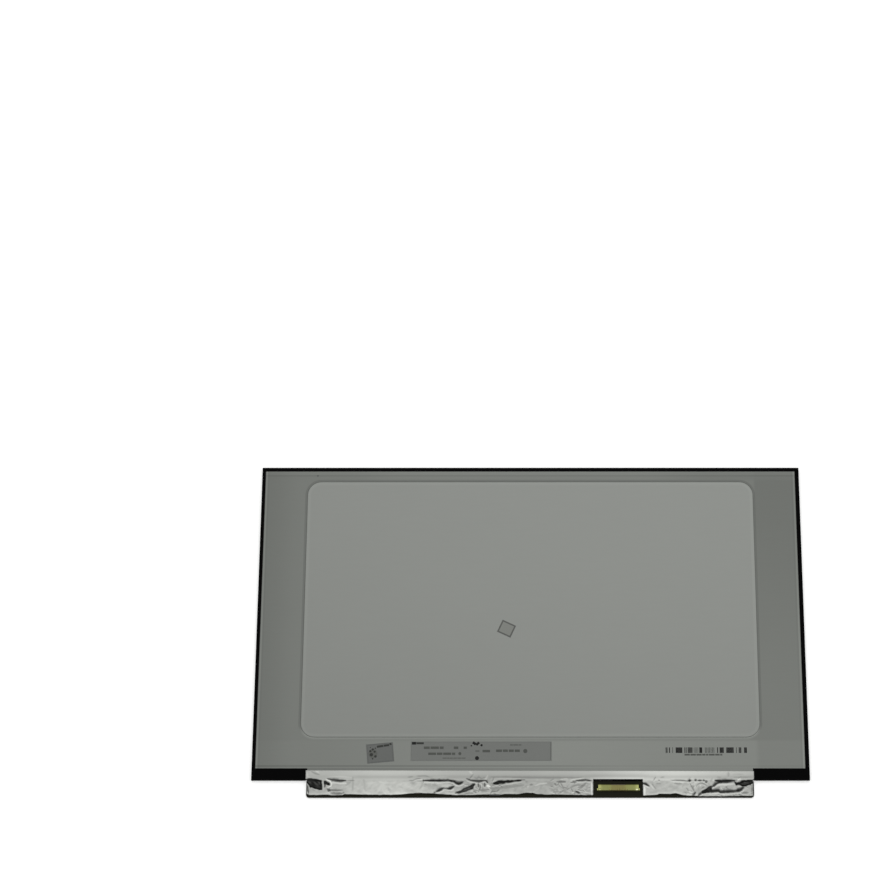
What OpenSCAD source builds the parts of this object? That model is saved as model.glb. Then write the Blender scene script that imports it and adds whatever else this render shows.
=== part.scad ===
// Rear-lit display panel of a portable computer, lying on its picture side.
// The origin is the middle of the footprint, on the surface that the panel lies on.
// X runs along the long side as seen from behind, Y runs up the picture, Z runs from front to rear.

/* [Picture and borders] */
// Width of the lit picture
active_w = 344.16; // [285:0.01:385]
// Height of the lit picture
active_h = 193.59; // [160:0.01:217]
// Border beside the picture, out to the side edge
side_border = 3.25; // [3:0.01:8]
// Border above the picture, out to the top edge
top_border = 4.73; // [4.6:0.01:8]
// Border below the picture, down to the lower edge of the glass
bottom_border = 6.9; // [6.8:0.01:10]
// How far the circuit board hangs below the glass
board_drop = 10.93; // [10.5:0.01:14]

/* [Glass and polarizers] */
// Thickness of each polarizer
polarizer_t = 0.12; // [0.1:0.01:0.2]
// Thickness of the colour filter glass
filter_glass_t = 0.35; // [0.3:0.01:0.5]
// Thickness of the transistor glass
transistor_glass_t = 0.35; // [0.3:0.01:0.5]
// Height of the bare shelf along the lower edge of the transistor glass
shelf_h = 3.8; // [3.6:0.05:4.4]
// Bare rim of glass round the front polarizer
polarizer_margin = 0.8; // [0.7:0.05:1.2]
// Overlap of the rear polarizer past the picture
rear_overlap = 1.2; // [1:0.05:1.25]

/* [Edge tape] */
// Thickness of the black edge tape
tape_t = 0.08; // [0.05:0.01:0.1]
// Play between the tape and the glass
edge_gap = 0.03; // [0.01:0.01:0.05]
// Lap of the tape on the front of the glass
front_lap = 0.6; // [0.4:0.05:0.65]
// Lap of the tape on the back plate, left side
rear_lap_left = 2.3; // [1.2:0.05:3]
// Lap of the tape on the back plate, right side
rear_lap_right = 2.7; // [1.2:0.05:3]
// Lap of the tape on the back plate, top side
rear_lap_top = 2.55; // [1.2:0.05:3]
// Lap of the tape on the back plate, lower side
rear_lap_low = 7.4; // [6:0.05:7.5]

/* [Moulded frame] */
// Thickness of the ledge that the glass is stuck to
ledge_t = 0.28; // [0.25:0.01:0.35]
// Gap from the picture to the inner edge of the ledge
ledge_margin = 0.9; // [0.8:0.05:0.95]
// Thickness of the side walls
frame_wall = 0.95; // [0.8:0.05:1]
// Thickness of the top wall
frame_wall_top = 1.7; // [1.6:0.05:1.75]
// Thickness of the lower wall
frame_wall_low = 2.2; // [2:0.05:2.3]
// Height of the full-width foot of the frame
foot_h = 0.46; // [0.4:0.01:0.6]
// Play between the frame and what lies in it
pocket_gap = 0.3; // [0.2:0.05:0.35]

/* [Light stack] */
// Free gap under the ledge
sheet_gap = 0.08; // [0.05:0.01:0.15]
// Thickness of each prism sheet
prism_t = 0.15; // [0.12:0.01:0.2]
// Thickness of the diffuser sheet
diffuser_t = 0.11; // [0.08:0.01:0.15]
// Thickness of the light guide
guide_t = 0.6; // [0.55:0.01:0.8]
// Thickness of the reflector sheet
reflector_t = 0.19; // [0.17:0.01:0.25]
// Distance from the picture to the lit edge of the light guide
guide_margin = 1.3; // [1.25:0.05:1.5]
// Width of each sheet's ears
ear_w = 8; // [5:0.5:14]
// Length of each sheet's ears
ear_h = 0.9; // [0.6:0.05:1]
// Distance from the sheets' ends to the middle of each ear
ear_from_side = 68.75; // [20:0.25:100]

/* [Lamps] */
// Width of one lamp
lamp_w = 3; // [2:0.1:3.8]
// Depth of one lamp, along the light
lamp_d = 0.9; // [0.7:0.05:1]
// Height of one lamp
lamp_h = 0.6; // [0.4:0.05:0.65]
// Spacing of the lamps
lamp_pitch = 9.4; // [7:0.1:14]
// Thickness of the lamp strip and its tail
strip_t = 0.12; // [0.08:0.01:0.14]
// Width of the tail
tail_w = 12; // [8:0.5:16]
// Place of the tail, as a share of half the board from its middle
tail_at = -0.8383; // [-0.85:0.0001:-0.75]

/* [Back plate] */
// Thickness of the sheet metal
plate_t = 0.2; // [0.15:0.01:0.25]
// Distance from the left edge of the panel to the drawn field
field_from_left = 29.68; // [20:0.01:40]
// Distance from the right edge of the panel to the drawn field
field_from_right = 30.06; // [20:0.01:40]
// Distance from the top edge of the panel to the drawn field
field_from_top = 9.35; // [8:0.05:14]
// Distance from the rear foil to the drawn field
field_from_foil = 20.57; // [18.5:0.01:40]
// Corner radius of the drawn field
field_r = 9.2; // [4:0.1:14]
// How far the field stands proud
field_rise = 0.25; // [0.15:0.01:0.4]
// Width of the sloping wall round the field
field_run = 0.6; // [0.4:0.05:1.5]
// Width of the shallow groove pressed along the lower edge
groove_w = 1.4; // [1:0.1:3]
// Depth of that groove
groove_t = 0.05; // [0.02:0.01:0.1]
// Height of the folded rim
rim_h = 1.25; // [1:0.01:1.25]
// Play between the rim and the frame
rim_gap = 0.02; // [0.01:0.01:0.04]
// Length of the open corner in the rim
corner_relief = 3; // [2:0.1:5]
// Width of a snap window
window_w = 5; // [3:0.1:8]
// Height of a snap window
window_h = 0.5; // [0.4:0.01:0.6]
// Spacing of the snap windows
window_pitch = 48; // [30:1:80]
// Diameter of the locating hole
locator_d = 1.2; // [0.8:0.1:2]
// Distance of the locating hole from the left edge
locator_from_left = 36.3; // [20:0.1:80]
// Distance of the locating hole from the top edge
locator_from_top = 5.6; // [4.5:0.1:6.5]

/* [Circuit board] */
// Distance from the left edge of the panel to the circuit board
board_from_left = 34.63; // [10:0.01:40]
// Distance from the right edge of the panel to the circuit board
board_from_right = 35.23; // [10:0.01:40]
// Thickness of the circuit board
board_t = 0.6; // [0.4:0.01:0.65]
// Height of the board's front face above the picture plane
board_z = 1; // [0.95:0.01:1.05]
// Gap between the glass and the board
board_gap = 0.5; // [0.3:0.05:0.6]
// Radius of the board's lower corners
board_r = 2; // [0.5:0.1:3]
// Height of the timing controller
controller_h = 0.85; // [0.6:0.01:0.9]
// Side of the timing controller
controller_s = 7; // [5:0.1:7.2]
// Side of the power chips
power_s = 4.5; // [3:0.1:6]
// Height of the power chips
power_h = 0.75; // [0.5:0.01:0.85]
// Side of an inductor
inductor_s = 4; // [2.5:0.1:5]
// Height of an inductor
inductor_h = 0.95; // [0.8:0.01:0.95]
// Spacing of the terminals along a flat chip
terminal_pitch = 0.43; // [0.4:0.01:0.8]
// Side of the memory chip
memory_s = 5; // [3:0.1:6]
// Height of the memory chip
memory_h = 0.75; // [0.5:0.01:0.9]
// Length of a ceramic capacitor
capacitor_l = 2; // [1:0.1:2.2]
// Width of a ceramic capacitor
capacitor_w = 1.25; // [0.5:0.05:1.3]
// Height of a ceramic capacitor
capacitor_h = 0.85; // [0.4:0.01:0.95]
// Length of a resistor
resistor_l = 1; // [0.6:0.1:1.6]
// Width of a resistor
resistor_w = 0.5; // [0.3:0.05:0.8]
// Height of a resistor
resistor_h = 0.35; // [0.2:0.01:0.5]

/* [Driver chips and films] */
// Number of driver chips on the glass, each with its film
driver_count = 4; // [2:1:5]
// Length of a driver chip
driver_w = 28; // [16:0.5:34]
// Width of a driver chip
driver_d = 1.2; // [0.8:0.05:1.3]
// Thickness of a driver chip
driver_t = 0.25; // [0.2:0.01:0.28]
// Distance from each end of the board to the outermost signal film
driver_from_end = 22.4; // [4:0.1:30]
// Width of a signal film
film_w = 38; // [20:0.5:42]
// Thickness of a signal film
film_t = 0.07; // [0.05:0.01:0.08]
// How far a signal film is bonded onto the glass
film_bond = 1.5; // [1:0.05:1.6]
// Thickness of the black cover film
cover_t = 0.08; // [0.05:0.01:0.1]
// Lap of the black cover film on the filter glass
cover_lap = 1.2; // [1:0.05:1.25]
// How far the black cover film reaches below the glass
cover_reach = 2.5; // [2.3:0.05:3.5]

/* [Receptacle] */
// Number of contacts
contact_count = 40; // [20:2:42]
// Contact spacing
contact_pitch = 0.5; // [0.5:0.01:0.52]
// Width of a contact
contact_w = 0.2; // [0.15:0.01:0.22]
// Thickness of a contact
contact_t = 0.12; // [0.08:0.01:0.14]
// Play beside a contact in its slot
contact_gap = 0.03; // [0.02:0.01:0.04]
// Width of the shell
shell_w = 25.3; // [25:0.1:28]
// Depth of the shell, from its mouth to its back
shell_d = 4.4; // [4.4:0.05:5]
// Height of the shell above the board
shell_h = 1.1; // [1.05:0.01:1.15]
// Thickness of the shell's sheet metal
shell_t = 0.12; // [0.1:0.01:0.14]
// Place of the receptacle, as a share of half the board from its middle
receptacle_at = 0.3946; // [0.38:0.0001:0.42]
// Distance of the mouth from the board's lower edge
mouth_back = 3.95; // [3.4:0.05:4.2]
// Play between the shell and the moulding
shell_gap = 0.05; // [0.03:0.01:0.08]

/* [Foils] */
// Thickness of the foils
foil_t = 0.06; // [0.04:0.01:0.08]
// Height of the flat band of the rear foil on the plate
band_h = 6.25; // [5.5:0.05:6.5]
// Clear height for parts between the board and the rear foil
foil_room = 1.04; // [1:0.01:1.1]
// Height of the rear foil's wrinkles
wrinkle_h = 0.2; // [0.1:0.01:0.22]
// Height of the front foil's wrinkles
front_wrinkle_h = 0.16; // [0.05:0.01:0.3]
// Width of the notch over the receptacle
notch_w = 30.6; // [30:0.1:33]
// How far the foils stay back from the board's edges
foil_back = 0.4; // [0.2:0.05:0.8]

/* [Labels] */
// Thickness of the labels
label_t = 0.05; // [0.04:0.01:0.1]
// Width of the long label
main_label_w = 88.8; // [70:0.1:110]
// Height of the long label
main_label_h = 12.3; // [10:0.1:14]
// Distance from the drawn field's left edge to the long label
main_label_in = 70.2; // [65:0.1:90]
// Gap between the drawn field and the long label
main_label_gap = 2.4; // [2:0.1:3.5]
// Width of the small label
small_label_w = 16.9; // [12:0.1:20]
// Height of the small label
small_label_h = 12.2; // [9:0.1:13]
// Distance from the drawn field's left edge to the middle of the small label
small_label_in = 50.9; // [20:0.1:55]
// Distance from the middle of the long label down to the middle of the small one
small_label_drop = 1.1; // [0:0.1:1.5]
// Turn of the small label
small_label_turn = 5; // [-6:0.5:6]
// Width of the centre sticker
sticker_w = 9.5; // [6:0.1:20]
// Height of the centre sticker
sticker_h = 8.6; // [6:0.1:20]
// Distance of the centre sticker to the right of the field's middle
sticker_right = -15.2; // [-60:0.05:60]
// Distance of the centre sticker above the field's middle
sticker_up = -14.1; // [-40:0.05:60]
// Turn of the centre sticker
sticker_turn = -25; // [-90:1:90]

/* [Hidden] */
$fn = 48;

// Overshoot of every cut past the face that it opens
cut = 1;

// Plan edges, from the middle of the panel
panel_w = active_w + 2 * side_border;
panel_h = top_border + active_h + bottom_border + board_drop;
x_out = panel_w / 2;
y_top = panel_h / 2;
y_low = -panel_h / 2;
y_picture_top = y_top - top_border;
y_picture_low = y_picture_top - active_h;
y_shelf = y_picture_low - bottom_border;
wrap = tape_t + edge_gap;
x_glass = x_out - wrap;
y_glass_top = y_top - wrap;
y_glass_low = y_shelf + wrap;
y_filter_low = y_glass_low + shelf_h;

// Levels, from the picture plane to the rear
z_filter = polarizer_t;
z_transistor = z_filter + filter_glass_t;
z_glass_rear = z_transistor + transistor_glass_t;
z_frame = z_glass_rear + polarizer_t;
z_ledge = z_frame + ledge_t;
z_upper_prism = z_ledge + sheet_gap;
z_lower_prism = z_upper_prism + prism_t;
z_diffuser = z_lower_prism + prism_t;
z_guide = z_diffuser + diffuser_t;
z_reflector = z_guide + guide_t;
z_plate_in = z_reflector + reflector_t;
z_plate = z_plate_in + plate_t;
z_field = z_plate + field_rise;
z_foot = z_frame + foot_h;
z_rim = z_plate - rim_h;
z_tape_front = z_filter - tape_t;
z_tape_rear = z_plate + tape_t;

// Edges of the plate's tray, the frame's walls and the pocket inside them
x_tray = x_glass - plate_t;
y_tray_top = y_glass_top - plate_t;
y_tray_low = y_glass_low + plate_t;
x_wall = x_tray - rim_gap;
y_wall_top = y_tray_top - rim_gap;
y_wall_low = y_tray_low + rim_gap;
x_pocket = x_wall - frame_wall;
y_pocket_top = y_wall_top - frame_wall_top;
y_pocket_low = y_wall_low + frame_wall_low;
x_opening = active_w / 2 + ledge_margin;
y_opening_top = y_picture_top + ledge_margin;
y_opening_low = y_picture_low - ledge_margin;

// Edges of the sheets, the light guide and the lamps
x_sheet = x_pocket - pocket_gap;
ear_x = x_sheet - ear_from_side;
y_sheet_top = y_pocket_top - pocket_gap;
y_sheet_low = y_opening_low - pocket_gap;
y_guide_low = y_picture_low - guide_margin;
lamp_gap = 0.1;
y_lamp_face = y_guide_low - lamp_gap;
y_strip_top = y_guide_low + pocket_gap;
y_strip_low = y_pocket_low + pocket_gap / 2;
z_strip = z_plate_in - strip_t;
y_reflector_low = y_strip_top + lamp_gap;
lamp_count = floor((2 * x_sheet - lamp_w) / lamp_pitch);
ear_recess_gap = 0.1;

// Drawn field of the back plate, and the groove above the tape's lower lap
y_foil_top = y_shelf + band_h;
y_field_top = y_top - field_from_top;
y_field_low = y_foil_top + field_from_foil;
field_xs = [field_from_left - x_out, x_out - field_from_right];
field_ys = [y_field_low, y_field_top];
y_field_mid = (y_field_low + y_field_top) / 2;
y_tape_low = y_shelf + rear_lap_low;
z_window = (z_rim + z_plate_in) / 2;
hook_gap = 0.05;

// Circuit board
x_board_left = board_from_left - x_out;
x_board_right = x_out - board_from_right;
board_x = (x_board_left + x_board_right) / 2;
board_w = x_board_right - x_board_left;
y_board_top = y_shelf - board_gap;
z_board_rear = board_z + board_t;
tape_clear = 0.6;

// Places of the parts along and across the board, as shares of half its length and half its height
row_ys = [-0.69, -0.38, -0.077, 0.115, 0.42];
controller_at = -0.157;
memory_at = -0.285;
power_at = [0.0855, -0.655];
inductor_at = [0.2, -0.556];
left_group = [-0.5, -0.37];
middle_group = [-0.085, 0.043];
right_group = [0.605, 0.926];

// Driver chips; signal films and the cover film, as front faces in Y and Z
driver_pitch = (board_w - film_w - 2 * driver_from_end) / (driver_count - 1);
driver_xs = [for (i = [0 : driver_count - 1]) board_x + (i - (driver_count - 1) / 2) * driver_pitch];
bend_start = 0.1;
bend_run = 0.9;
film_tail = 1.2;
y_bend_start = y_glass_low - bend_start;
y_bend_end = y_bend_start - bend_run;
z_film_glass = z_transistor - film_t;
z_film_board = board_z - film_t;
film_path = [
    [y_glass_low + film_bond, z_film_glass],
    [y_bend_start, z_film_glass],
    [y_bend_end, z_film_board],
    [y_bend_end - film_tail, z_film_board]
];
y_cover_top = y_filter_low + cover_lap;
y_cover_low = y_shelf - cover_reach;
x_cover = x_out - front_lap - edge_gap;
z_cover_glass = z_filter - cover_t;
z_cover_board = z_film_board - cover_t;
cover_path = [
    [y_cover_top, z_cover_glass],
    [y_bend_start - bend_start, z_cover_glass],
    [y_bend_end - 3 * bend_start, z_cover_board],
    [y_cover_low, z_cover_board]
];

// Lamp tail and its socket on the board
tail_x = board_x + tail_at * board_w / 2;
socket_wall = 0.8;
socket_h = 0.9;
socket_d = 3;
socket_back = 1.6;
slot_gap = 0.03;
plug_depth = 1.1;
y_socket = y_board_top - socket_back;
z_tail_plug = z_board_rear + socket_h / 2 - strip_t / 2;
tail_path = [
    [y_strip_low, z_strip],
    [y_glass_low - bend_start, z_strip],
    [y_board_top - bend_run, z_tail_plug],
    [y_socket - plug_depth, z_tail_plug]
];

// Receptacle, with its mouth towards the board's lower edge
shell_x = board_x + receptacle_at * board_w / 2;
y_mouth = y_low + mouth_back;
y_shell_back = y_mouth + shell_d;
z_shell_in = z_board_rear + shell_h - shell_t;
x_moulding = shell_w / 2 - shell_t - shell_gap;
z_moulding_top = z_shell_in - shell_gap;
moulding_lift = 0.05;
floor_t = 0.2;
rear_bar_d = 1.4;
rear_bar_back = 0.15;
cheek_w = 1.6;
tail_out = 0.75;
contact_tip_back = 0.55;
bump_h = 0.26;
z_moulding = z_board_rear + moulding_lift;
z_floor = z_moulding + floor_t;
groove_h = contact_t - 0.02;
z_contact = z_floor - groove_h;
y_bar_rear = y_shell_back - rear_bar_back;
y_bar_front = y_bar_rear - rear_bar_d;
contact_xs = [for (i = [0 : contact_count - 1]) shell_x + (i - (contact_count - 1) / 2) * contact_pitch];

// Foils: where they lie, and the field of creases that wrinkles them
y_foil_bend = y_shelf - edge_gap;
z_band = z_tape_rear;
foil_lap = 1;
z_foil_low = z_board_rear + foil_room;
x_foil_left = x_board_left + foil_back;
x_foil_right = x_board_right - foil_back;
notch_xs = [shell_x - notch_w / 2, shell_x + notch_w / 2];
notch_rim = 0.1;
y_notch = y_foil_bend - notch_rim;
notch_edge = 0.05;
foil_step = 2.2;
foil_rows = 9;
front_step = 2.6;
front_rows = 5;

function mix(a, b, t) = a + (b - a) * t;
function along(u) = board_x + u * board_w / 2;
function across(v) = mix(y_low, y_board_top, (1 + v) / 2);
function clamp01(t) = min(1, max(0, t));
function ease(t) = clamp01(t) * clamp01(t) * (3 - 2 * clamp01(t));

// One family of straight creases: a sharp fold along every line, a soft belly between them
function creases(x, y, wave, turn, shift) =
    abs(sin(180 * (x * cos(turn) + y * sin(turn)) / wave + shift));

// The wrinkles at a point, from 0 to 1, strongest near the ends and past the notch
function crumple(x, y) =
    let (
        a = creases(x, y, 9, 62, 20),
        b = creases(x, y, 5.5, -48, 75),
        c = creases(x, y, 14, 84, 130),
        d = creases(x, y, 23, 15, 40)
    )
    (0.3 * a + 0.25 * b + 0.3 * c + 0.15 * d);

// Evenly spaced values from a to b, no further apart than step
function spread(a, b, step) =
    let (n = ceil((b - a) / step)) [for (i = [0 : n]) mix(a, b, i / n)];

// Lower edge of the rear foil, which wanders a little
function foil_edge(x) = y_low + foil_back + 0.3 * creases(x, 0, 31, 0, 15) * creases(x, 0, 12, 0, 50);

// Height of the rear foil's underside
function foil_z(x, y) =
    let (down = ease((y_foil_bend - y) / 0.9))
    mix(z_band, z_foil_low + wrinkle_h * crumple(x, y), down);

// Layout helpers
module block(x, y, z) {
    translate([x[0], y[0], z[0]]) cube([x[1] - x[0], y[1] - y[0], z[1] - z[0]]);
}

// A raised block whose walls lean in by run on the way up
module drawn_block(x, y, z, r, run) {
    hull()
        for (cx = [x[0] + r, x[1] - r], cy = [y[0] + r, y[1] - r])
            translate([cx, cy, z[0]]) cylinder(r1 = r, r2 = r - run, h = z[1] - z[0], $fn = 32);
}

// A strip of thickness t whose front face follows path in Y and Z, w wide about x
module ribbon(path, t, x, w) {
    n = len(path);
    rear = [for (i = [n - 1 : -1 : 0]) [path[i][0], path[i][1] + t]];
    translate([x - w / 2, 0, 0]) rotate([90, 0, 90]) linear_extrude(w) polygon(concat(path, rear));
}

// A closed sheet between two grids of points, rows running down and columns running right
module sheet(upper, under) {
    rows = len(upper);
    cols = len(upper[0]);
    half = rows * cols;
    points = concat([for (r = upper) each r], [for (r = under) each r]);
    faces = concat(
        [for (r = [0 : rows - 2], c = [0 : cols - 2]) let (i = r * cols + c) each [
            [i, i + 1, i + cols + 1],
            [i, i + cols + 1, i + cols],
            [half + i, half + i + cols + 1, half + i + 1],
            [half + i, half + i + cols, half + i + cols + 1]
        ]],
        [for (c = [0 : cols - 2]) let (i = c, j = (rows - 1) * cols + c) each [
            [i + 1, i, half + i],
            [i + 1, half + i, half + i + 1],
            [j, j + 1, half + j + 1],
            [j, half + j + 1, half + j]
        ]],
        [for (r = [0 : rows - 2]) let (i = r * cols, j = r * cols + cols - 1) each [
            [i, i + cols, half + i + cols],
            [i, half + i + cols, half + i],
            [j + cols, j, half + j],
            [j + cols, half + j, half + j + cols]
        ]]
    );
    polyhedron(points = points, faces = faces, convexity = 4);
}

// Places at an even pitch that fit within half length either side of the middle
function pitched(half_length, pitch) =
    let (n = floor(half_length / pitch)) [for (i = [-n : n]) i * pitch];

// A light sheet with two ears at its top edge
module eared_sheet(z, t) {
    block([-x_sheet, x_sheet], [y_sheet_low, y_sheet_top], [z, z + t]);
    for (s = [-1, 1])
        translate([s * ear_x, y_sheet_top, z]) block([-ear_w / 2, ear_w / 2], [-cut, ear_h], [0, t]);
}

// A square chip without legs: a row of flat terminals on each side and a dimple at pin one
module flat_chip(x, y, s, h) {
    pad_t = h / 10;
    pads = floor((s - 1) / terminal_pitch);
    pitch = (s - 1) / pads;
    translate([x, y, z_board_rear]) difference() {
        union() {
            block([-s / 2, s / 2], [-s / 2, s / 2], [0, h]);
            for (a = [0 : 90 : 270], i = [0 : pads - 1])
                rotate([0, 0, a])
                    translate([(i - (pads - 1) / 2) * pitch, s / 2, 0])
                        block([-pitch / 4, pitch / 4], [-pad_t, pad_t], [0, 2 * pad_t]);
        }
        translate([-0.38 * s, 0.38 * s, h - pad_t]) cylinder(d = 0.1 * s, h = cut);
    }
}

// A row of ceramic capacitors or resistors, each a body between two square end caps
module two_ended_row(group, count, row, size) {
    cap = size[0] / 5;
    skin = 0.03;
    half = size / 2;
    for (i = [0 : count - 1])
        translate([along(mix(group[0], group[1], i / (count - 1))), across(row), z_board_rear]) {
            block([cap / 2 - half[0], half[0] - cap / 2], [skin - half[1], half[1] - skin],
                  [skin, size[2] - skin]);
            for (s = [-1, 1])
                translate([s * (half[0] - cap / 2), 0, 0])
                    block([-cap / 2, cap / 2], [-half[1], half[1]], [0, size[2]]);
        }
}

// Glass and what is stuck to it
module front_polarizer() {
    color("#232426")
        block([polarizer_margin - x_glass, x_glass - polarizer_margin],
              [y_cover_top + pocket_gap, y_glass_top - polarizer_margin], [0, z_filter]);
}

module filter_glass() {
    color("#3a4148") block([-x_glass, x_glass], [y_filter_low, y_glass_top], [z_filter, z_transistor]);
}

module transistor_glass() {
    color("#454d54") block([-x_glass, x_glass], [y_glass_low, y_glass_top], [z_transistor, z_glass_rear]);
}

module rear_polarizer() {
    x = active_w / 2 + rear_overlap;
    color("#2c2e30")
        block([-x, x], [y_picture_low - rear_overlap, y_picture_top + rear_overlap], [z_glass_rear, z_frame]);
}

module glass_adhesive() {
    x = active_w / 2 + rear_overlap + edge_gap;
    color("#101010") difference() {
        block([-x_wall, x_wall], [y_wall_low, y_wall_top], [z_glass_rear, z_frame]);
        block([-x, x], [y_picture_low - rear_overlap - edge_gap, y_picture_top + rear_overlap + edge_gap],
              [z_glass_rear - cut, z_frame + cut]);
    }
}

module driver_chips() {
    color("#1c1d20")
        for (x = driver_xs)
            translate([x, y_filter_low - pocket_gap, z_transistor])
                block([-driver_w / 2, driver_w / 2], [-driver_d, 0], [-driver_t, 0]);
}

module signal_films() {
    color("#8a5a1e")
        for (x = driver_xs)
            ribbon(film_path, film_t, x, film_w);
}

module cover_film() {
    color("#0e0e0f") {
        ribbon(cover_path, cover_t, board_x, board_w - 2 * foil_back);
        block([-x_cover, x_cover], [y_shelf + front_lap + edge_gap, y_cover_top], [z_cover_glass, z_filter]);
    }
}

module edge_tape() {
    color("#0b0b0c") difference() {
        block([-x_out, x_out], [y_shelf, y_top], [z_tape_front, z_tape_rear]);
        block([tape_t - x_out, x_out - tape_t], [y_shelf + tape_t, y_top - tape_t], [z_filter, z_plate]);
        block([front_lap - x_out, x_out - front_lap], [y_shelf + front_lap, y_top - front_lap],
              [-cut, z_transistor]);
        block([rear_lap_left - x_out, x_out - rear_lap_right], [y_tape_low, y_top - rear_lap_top],
              [z_plate_in, z_plate + cut]);
        block([x_foil_left, x_foil_right], [y_foil_top - foil_lap, y_tape_low + cut],
              [z_plate_in, z_plate + cut]);
        block([x_board_left - tape_clear, x_board_right + tape_clear],
              [y_shelf - cut, y_shelf + front_lap + cut], [-cut, z_plate]);
    }
}

// Frame and light stack
module mould_frame() {
    color("#17181a") difference() {
        union() {
            block([-x_glass, x_glass], [y_glass_low, y_glass_top], [z_frame, z_foot]);
            block([-x_wall, x_wall], [y_wall_low, y_wall_top], [z_foot, z_plate_in]);
            snap_hooks();
        }
        block([-x_opening, x_opening], [y_opening_low, y_opening_top], [z_frame - cut, z_ledge + cut]);
        block([-x_pocket, x_pocket], [y_pocket_low, y_pocket_top], [z_ledge, z_plate_in + cut]);
        for (s = [-1, 1])
            translate([s * ear_x, 0, 0])
                block([-ear_w / 2 - ear_recess_gap, ear_w / 2 + ear_recess_gap],
                      [y_pocket_top - cut, y_sheet_top + ear_h + ear_recess_gap], [z_ledge, z_guide]);
        block([tail_x - tail_w / 2 - pocket_gap, tail_x + tail_w / 2 + pocket_gap],
              [y_glass_low - cut, y_pocket_low + cut], [z_strip - slot_gap, z_plate_in + cut]);
    }
}

// Hooks on the frame's long and short walls, one in each window of the rim
module snap_hooks() {
    h = window_h / 2 - hook_gap;
    w = window_w / 2 - hook_gap;
    reach = rim_gap + plate_t - hook_gap;
    for (x = pitched(x_wall - 4 * corner_relief, window_pitch))
        block([x - w, x + w], [y_wall_top - cut / 2, y_wall_top + reach], [z_window - h, z_window + h]);
    for (y = pitched((y_wall_top - y_wall_low) / 2 - 4 * corner_relief, window_pitch))
        translate([0, (y_wall_top + y_wall_low) / 2 + y, 0])
            block([-x_wall - reach, x_wall + reach], [-w, w], [z_window - h, z_window + h]);
}

module upper_prism_sheet() {
    color("#e9eef2") eared_sheet(z_upper_prism, prism_t);
}

module lower_prism_sheet() {
    color("#e2e8ee") eared_sheet(z_lower_prism, prism_t);
}

module diffuser_sheet() {
    color("#f4f5f5") eared_sheet(z_diffuser, diffuser_t);
}

module light_guide() {
    color("#dbe7ea") block([-x_sheet, x_sheet], [y_guide_low, y_sheet_top], [z_guide, z_reflector]);
}

module reflector_sheet() {
    color("#f7f7f4") block([-x_sheet, x_sheet], [y_reflector_low, y_sheet_top], [z_reflector, z_plate_in]);
}

module lamp_strip() {
    color("#e8e4d2") block([-x_sheet, x_sheet], [y_strip_low, y_strip_top], [z_strip, z_plate_in]);
}

module lamps() {
    glow_t = 0.04;
    rim = 0.12;
    color("#f2d98a")
        for (i = [0 : lamp_count - 1])
            translate([(i - (lamp_count - 1) / 2) * lamp_pitch, y_lamp_face, z_strip - lamp_h]) difference() {
                block([-lamp_w / 2, lamp_w / 2], [-lamp_d, 0], [0, lamp_h]);
                block([rim - lamp_w / 2, lamp_w / 2 - rim], [-glow_t, cut], [rim, lamp_h - rim]);
            }
}

module lamp_tail() {
    color("#b5742a") ribbon(tail_path, strip_t, tail_x, tail_w);
}

module tail_socket() {
    w = tail_w + 2 * socket_wall;
    color("#e6e2d6") difference() {
        block([tail_x - w / 2, tail_x + w / 2], [y_socket - socket_d, y_socket],
              [z_board_rear, z_board_rear + socket_h]);
        block([tail_x - tail_w / 2 - slot_gap, tail_x + tail_w / 2 + slot_gap],
              [y_socket - plug_depth - slot_gap, y_socket + cut],
              [z_tail_plug - slot_gap, z_tail_plug + strip_t + slot_gap]);
    }
}

// Stamped tray with a drawn field, folded rims, snap windows and a locating hole
module back_plate() {
    color("#8b8d88") difference() {
        union() {
            block([-x_glass, x_glass], [y_glass_low, y_glass_top], [z_rim, z_plate]);
            drawn_block(field_xs, field_ys, [z_plate, z_field], field_r, field_run);
        }
        block([-x_tray, x_tray], [y_tray_low, y_tray_top], [z_rim - cut, z_plate_in]);
        drawn_block(field_xs, field_ys, [z_plate_in, z_plate_in + field_rise], field_r, field_run);
        for (s = [-1, 1], y = [y_glass_low - cut, y_glass_top - corner_relief])
            translate([s * x_glass, 0, 0])
                block([-corner_relief, corner_relief], [y, y + corner_relief + cut], [z_rim - cut, z_plate_in]);
        for (x = pitched(x_wall - 4 * corner_relief, window_pitch))
            block([x - window_w / 2, x + window_w / 2], [y_tray_top - cut, y_glass_top + cut],
                  [z_window - window_h / 2, z_window + window_h / 2]);
        for (y = pitched((y_wall_top - y_wall_low) / 2 - 4 * corner_relief, window_pitch))
            translate([0, (y_wall_top + y_wall_low) / 2 + y, z_window])
                block([-x_out, x_out], [-window_w / 2, window_w / 2], [-window_h / 2, window_h / 2]);
        block([tail_x - tail_w / 2 - pocket_gap, tail_x + tail_w / 2 + pocket_gap],
              [y_glass_low - cut, y_tray_low], [z_rim - cut, z_plate_in]);
        block([-x_glass - cut, x_glass + cut], [y_tape_low, y_tape_low + groove_w],
              [z_plate - groove_t, z_plate + cut]);
        translate([locator_from_left - x_out, y_top - locator_from_top, z_plate_in - cut])
            cylinder(d = locator_d, h = plate_t + 2 * cut);
    }
}

// Circuit board and the parts on its rear face
module circuit_board() {
    z = [board_z, z_board_rear];
    color("#15170f") {
        block([x_board_left, x_board_right], [y_low + board_r, y_board_top], z);
        block([x_board_left + board_r, x_board_right - board_r], [y_low, y_low + board_r], z);
        for (x = [x_board_left + board_r, x_board_right - board_r])
            translate([x, y_low + board_r, z[0]]) cylinder(r = board_r, h = board_t);
    }
}

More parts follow.
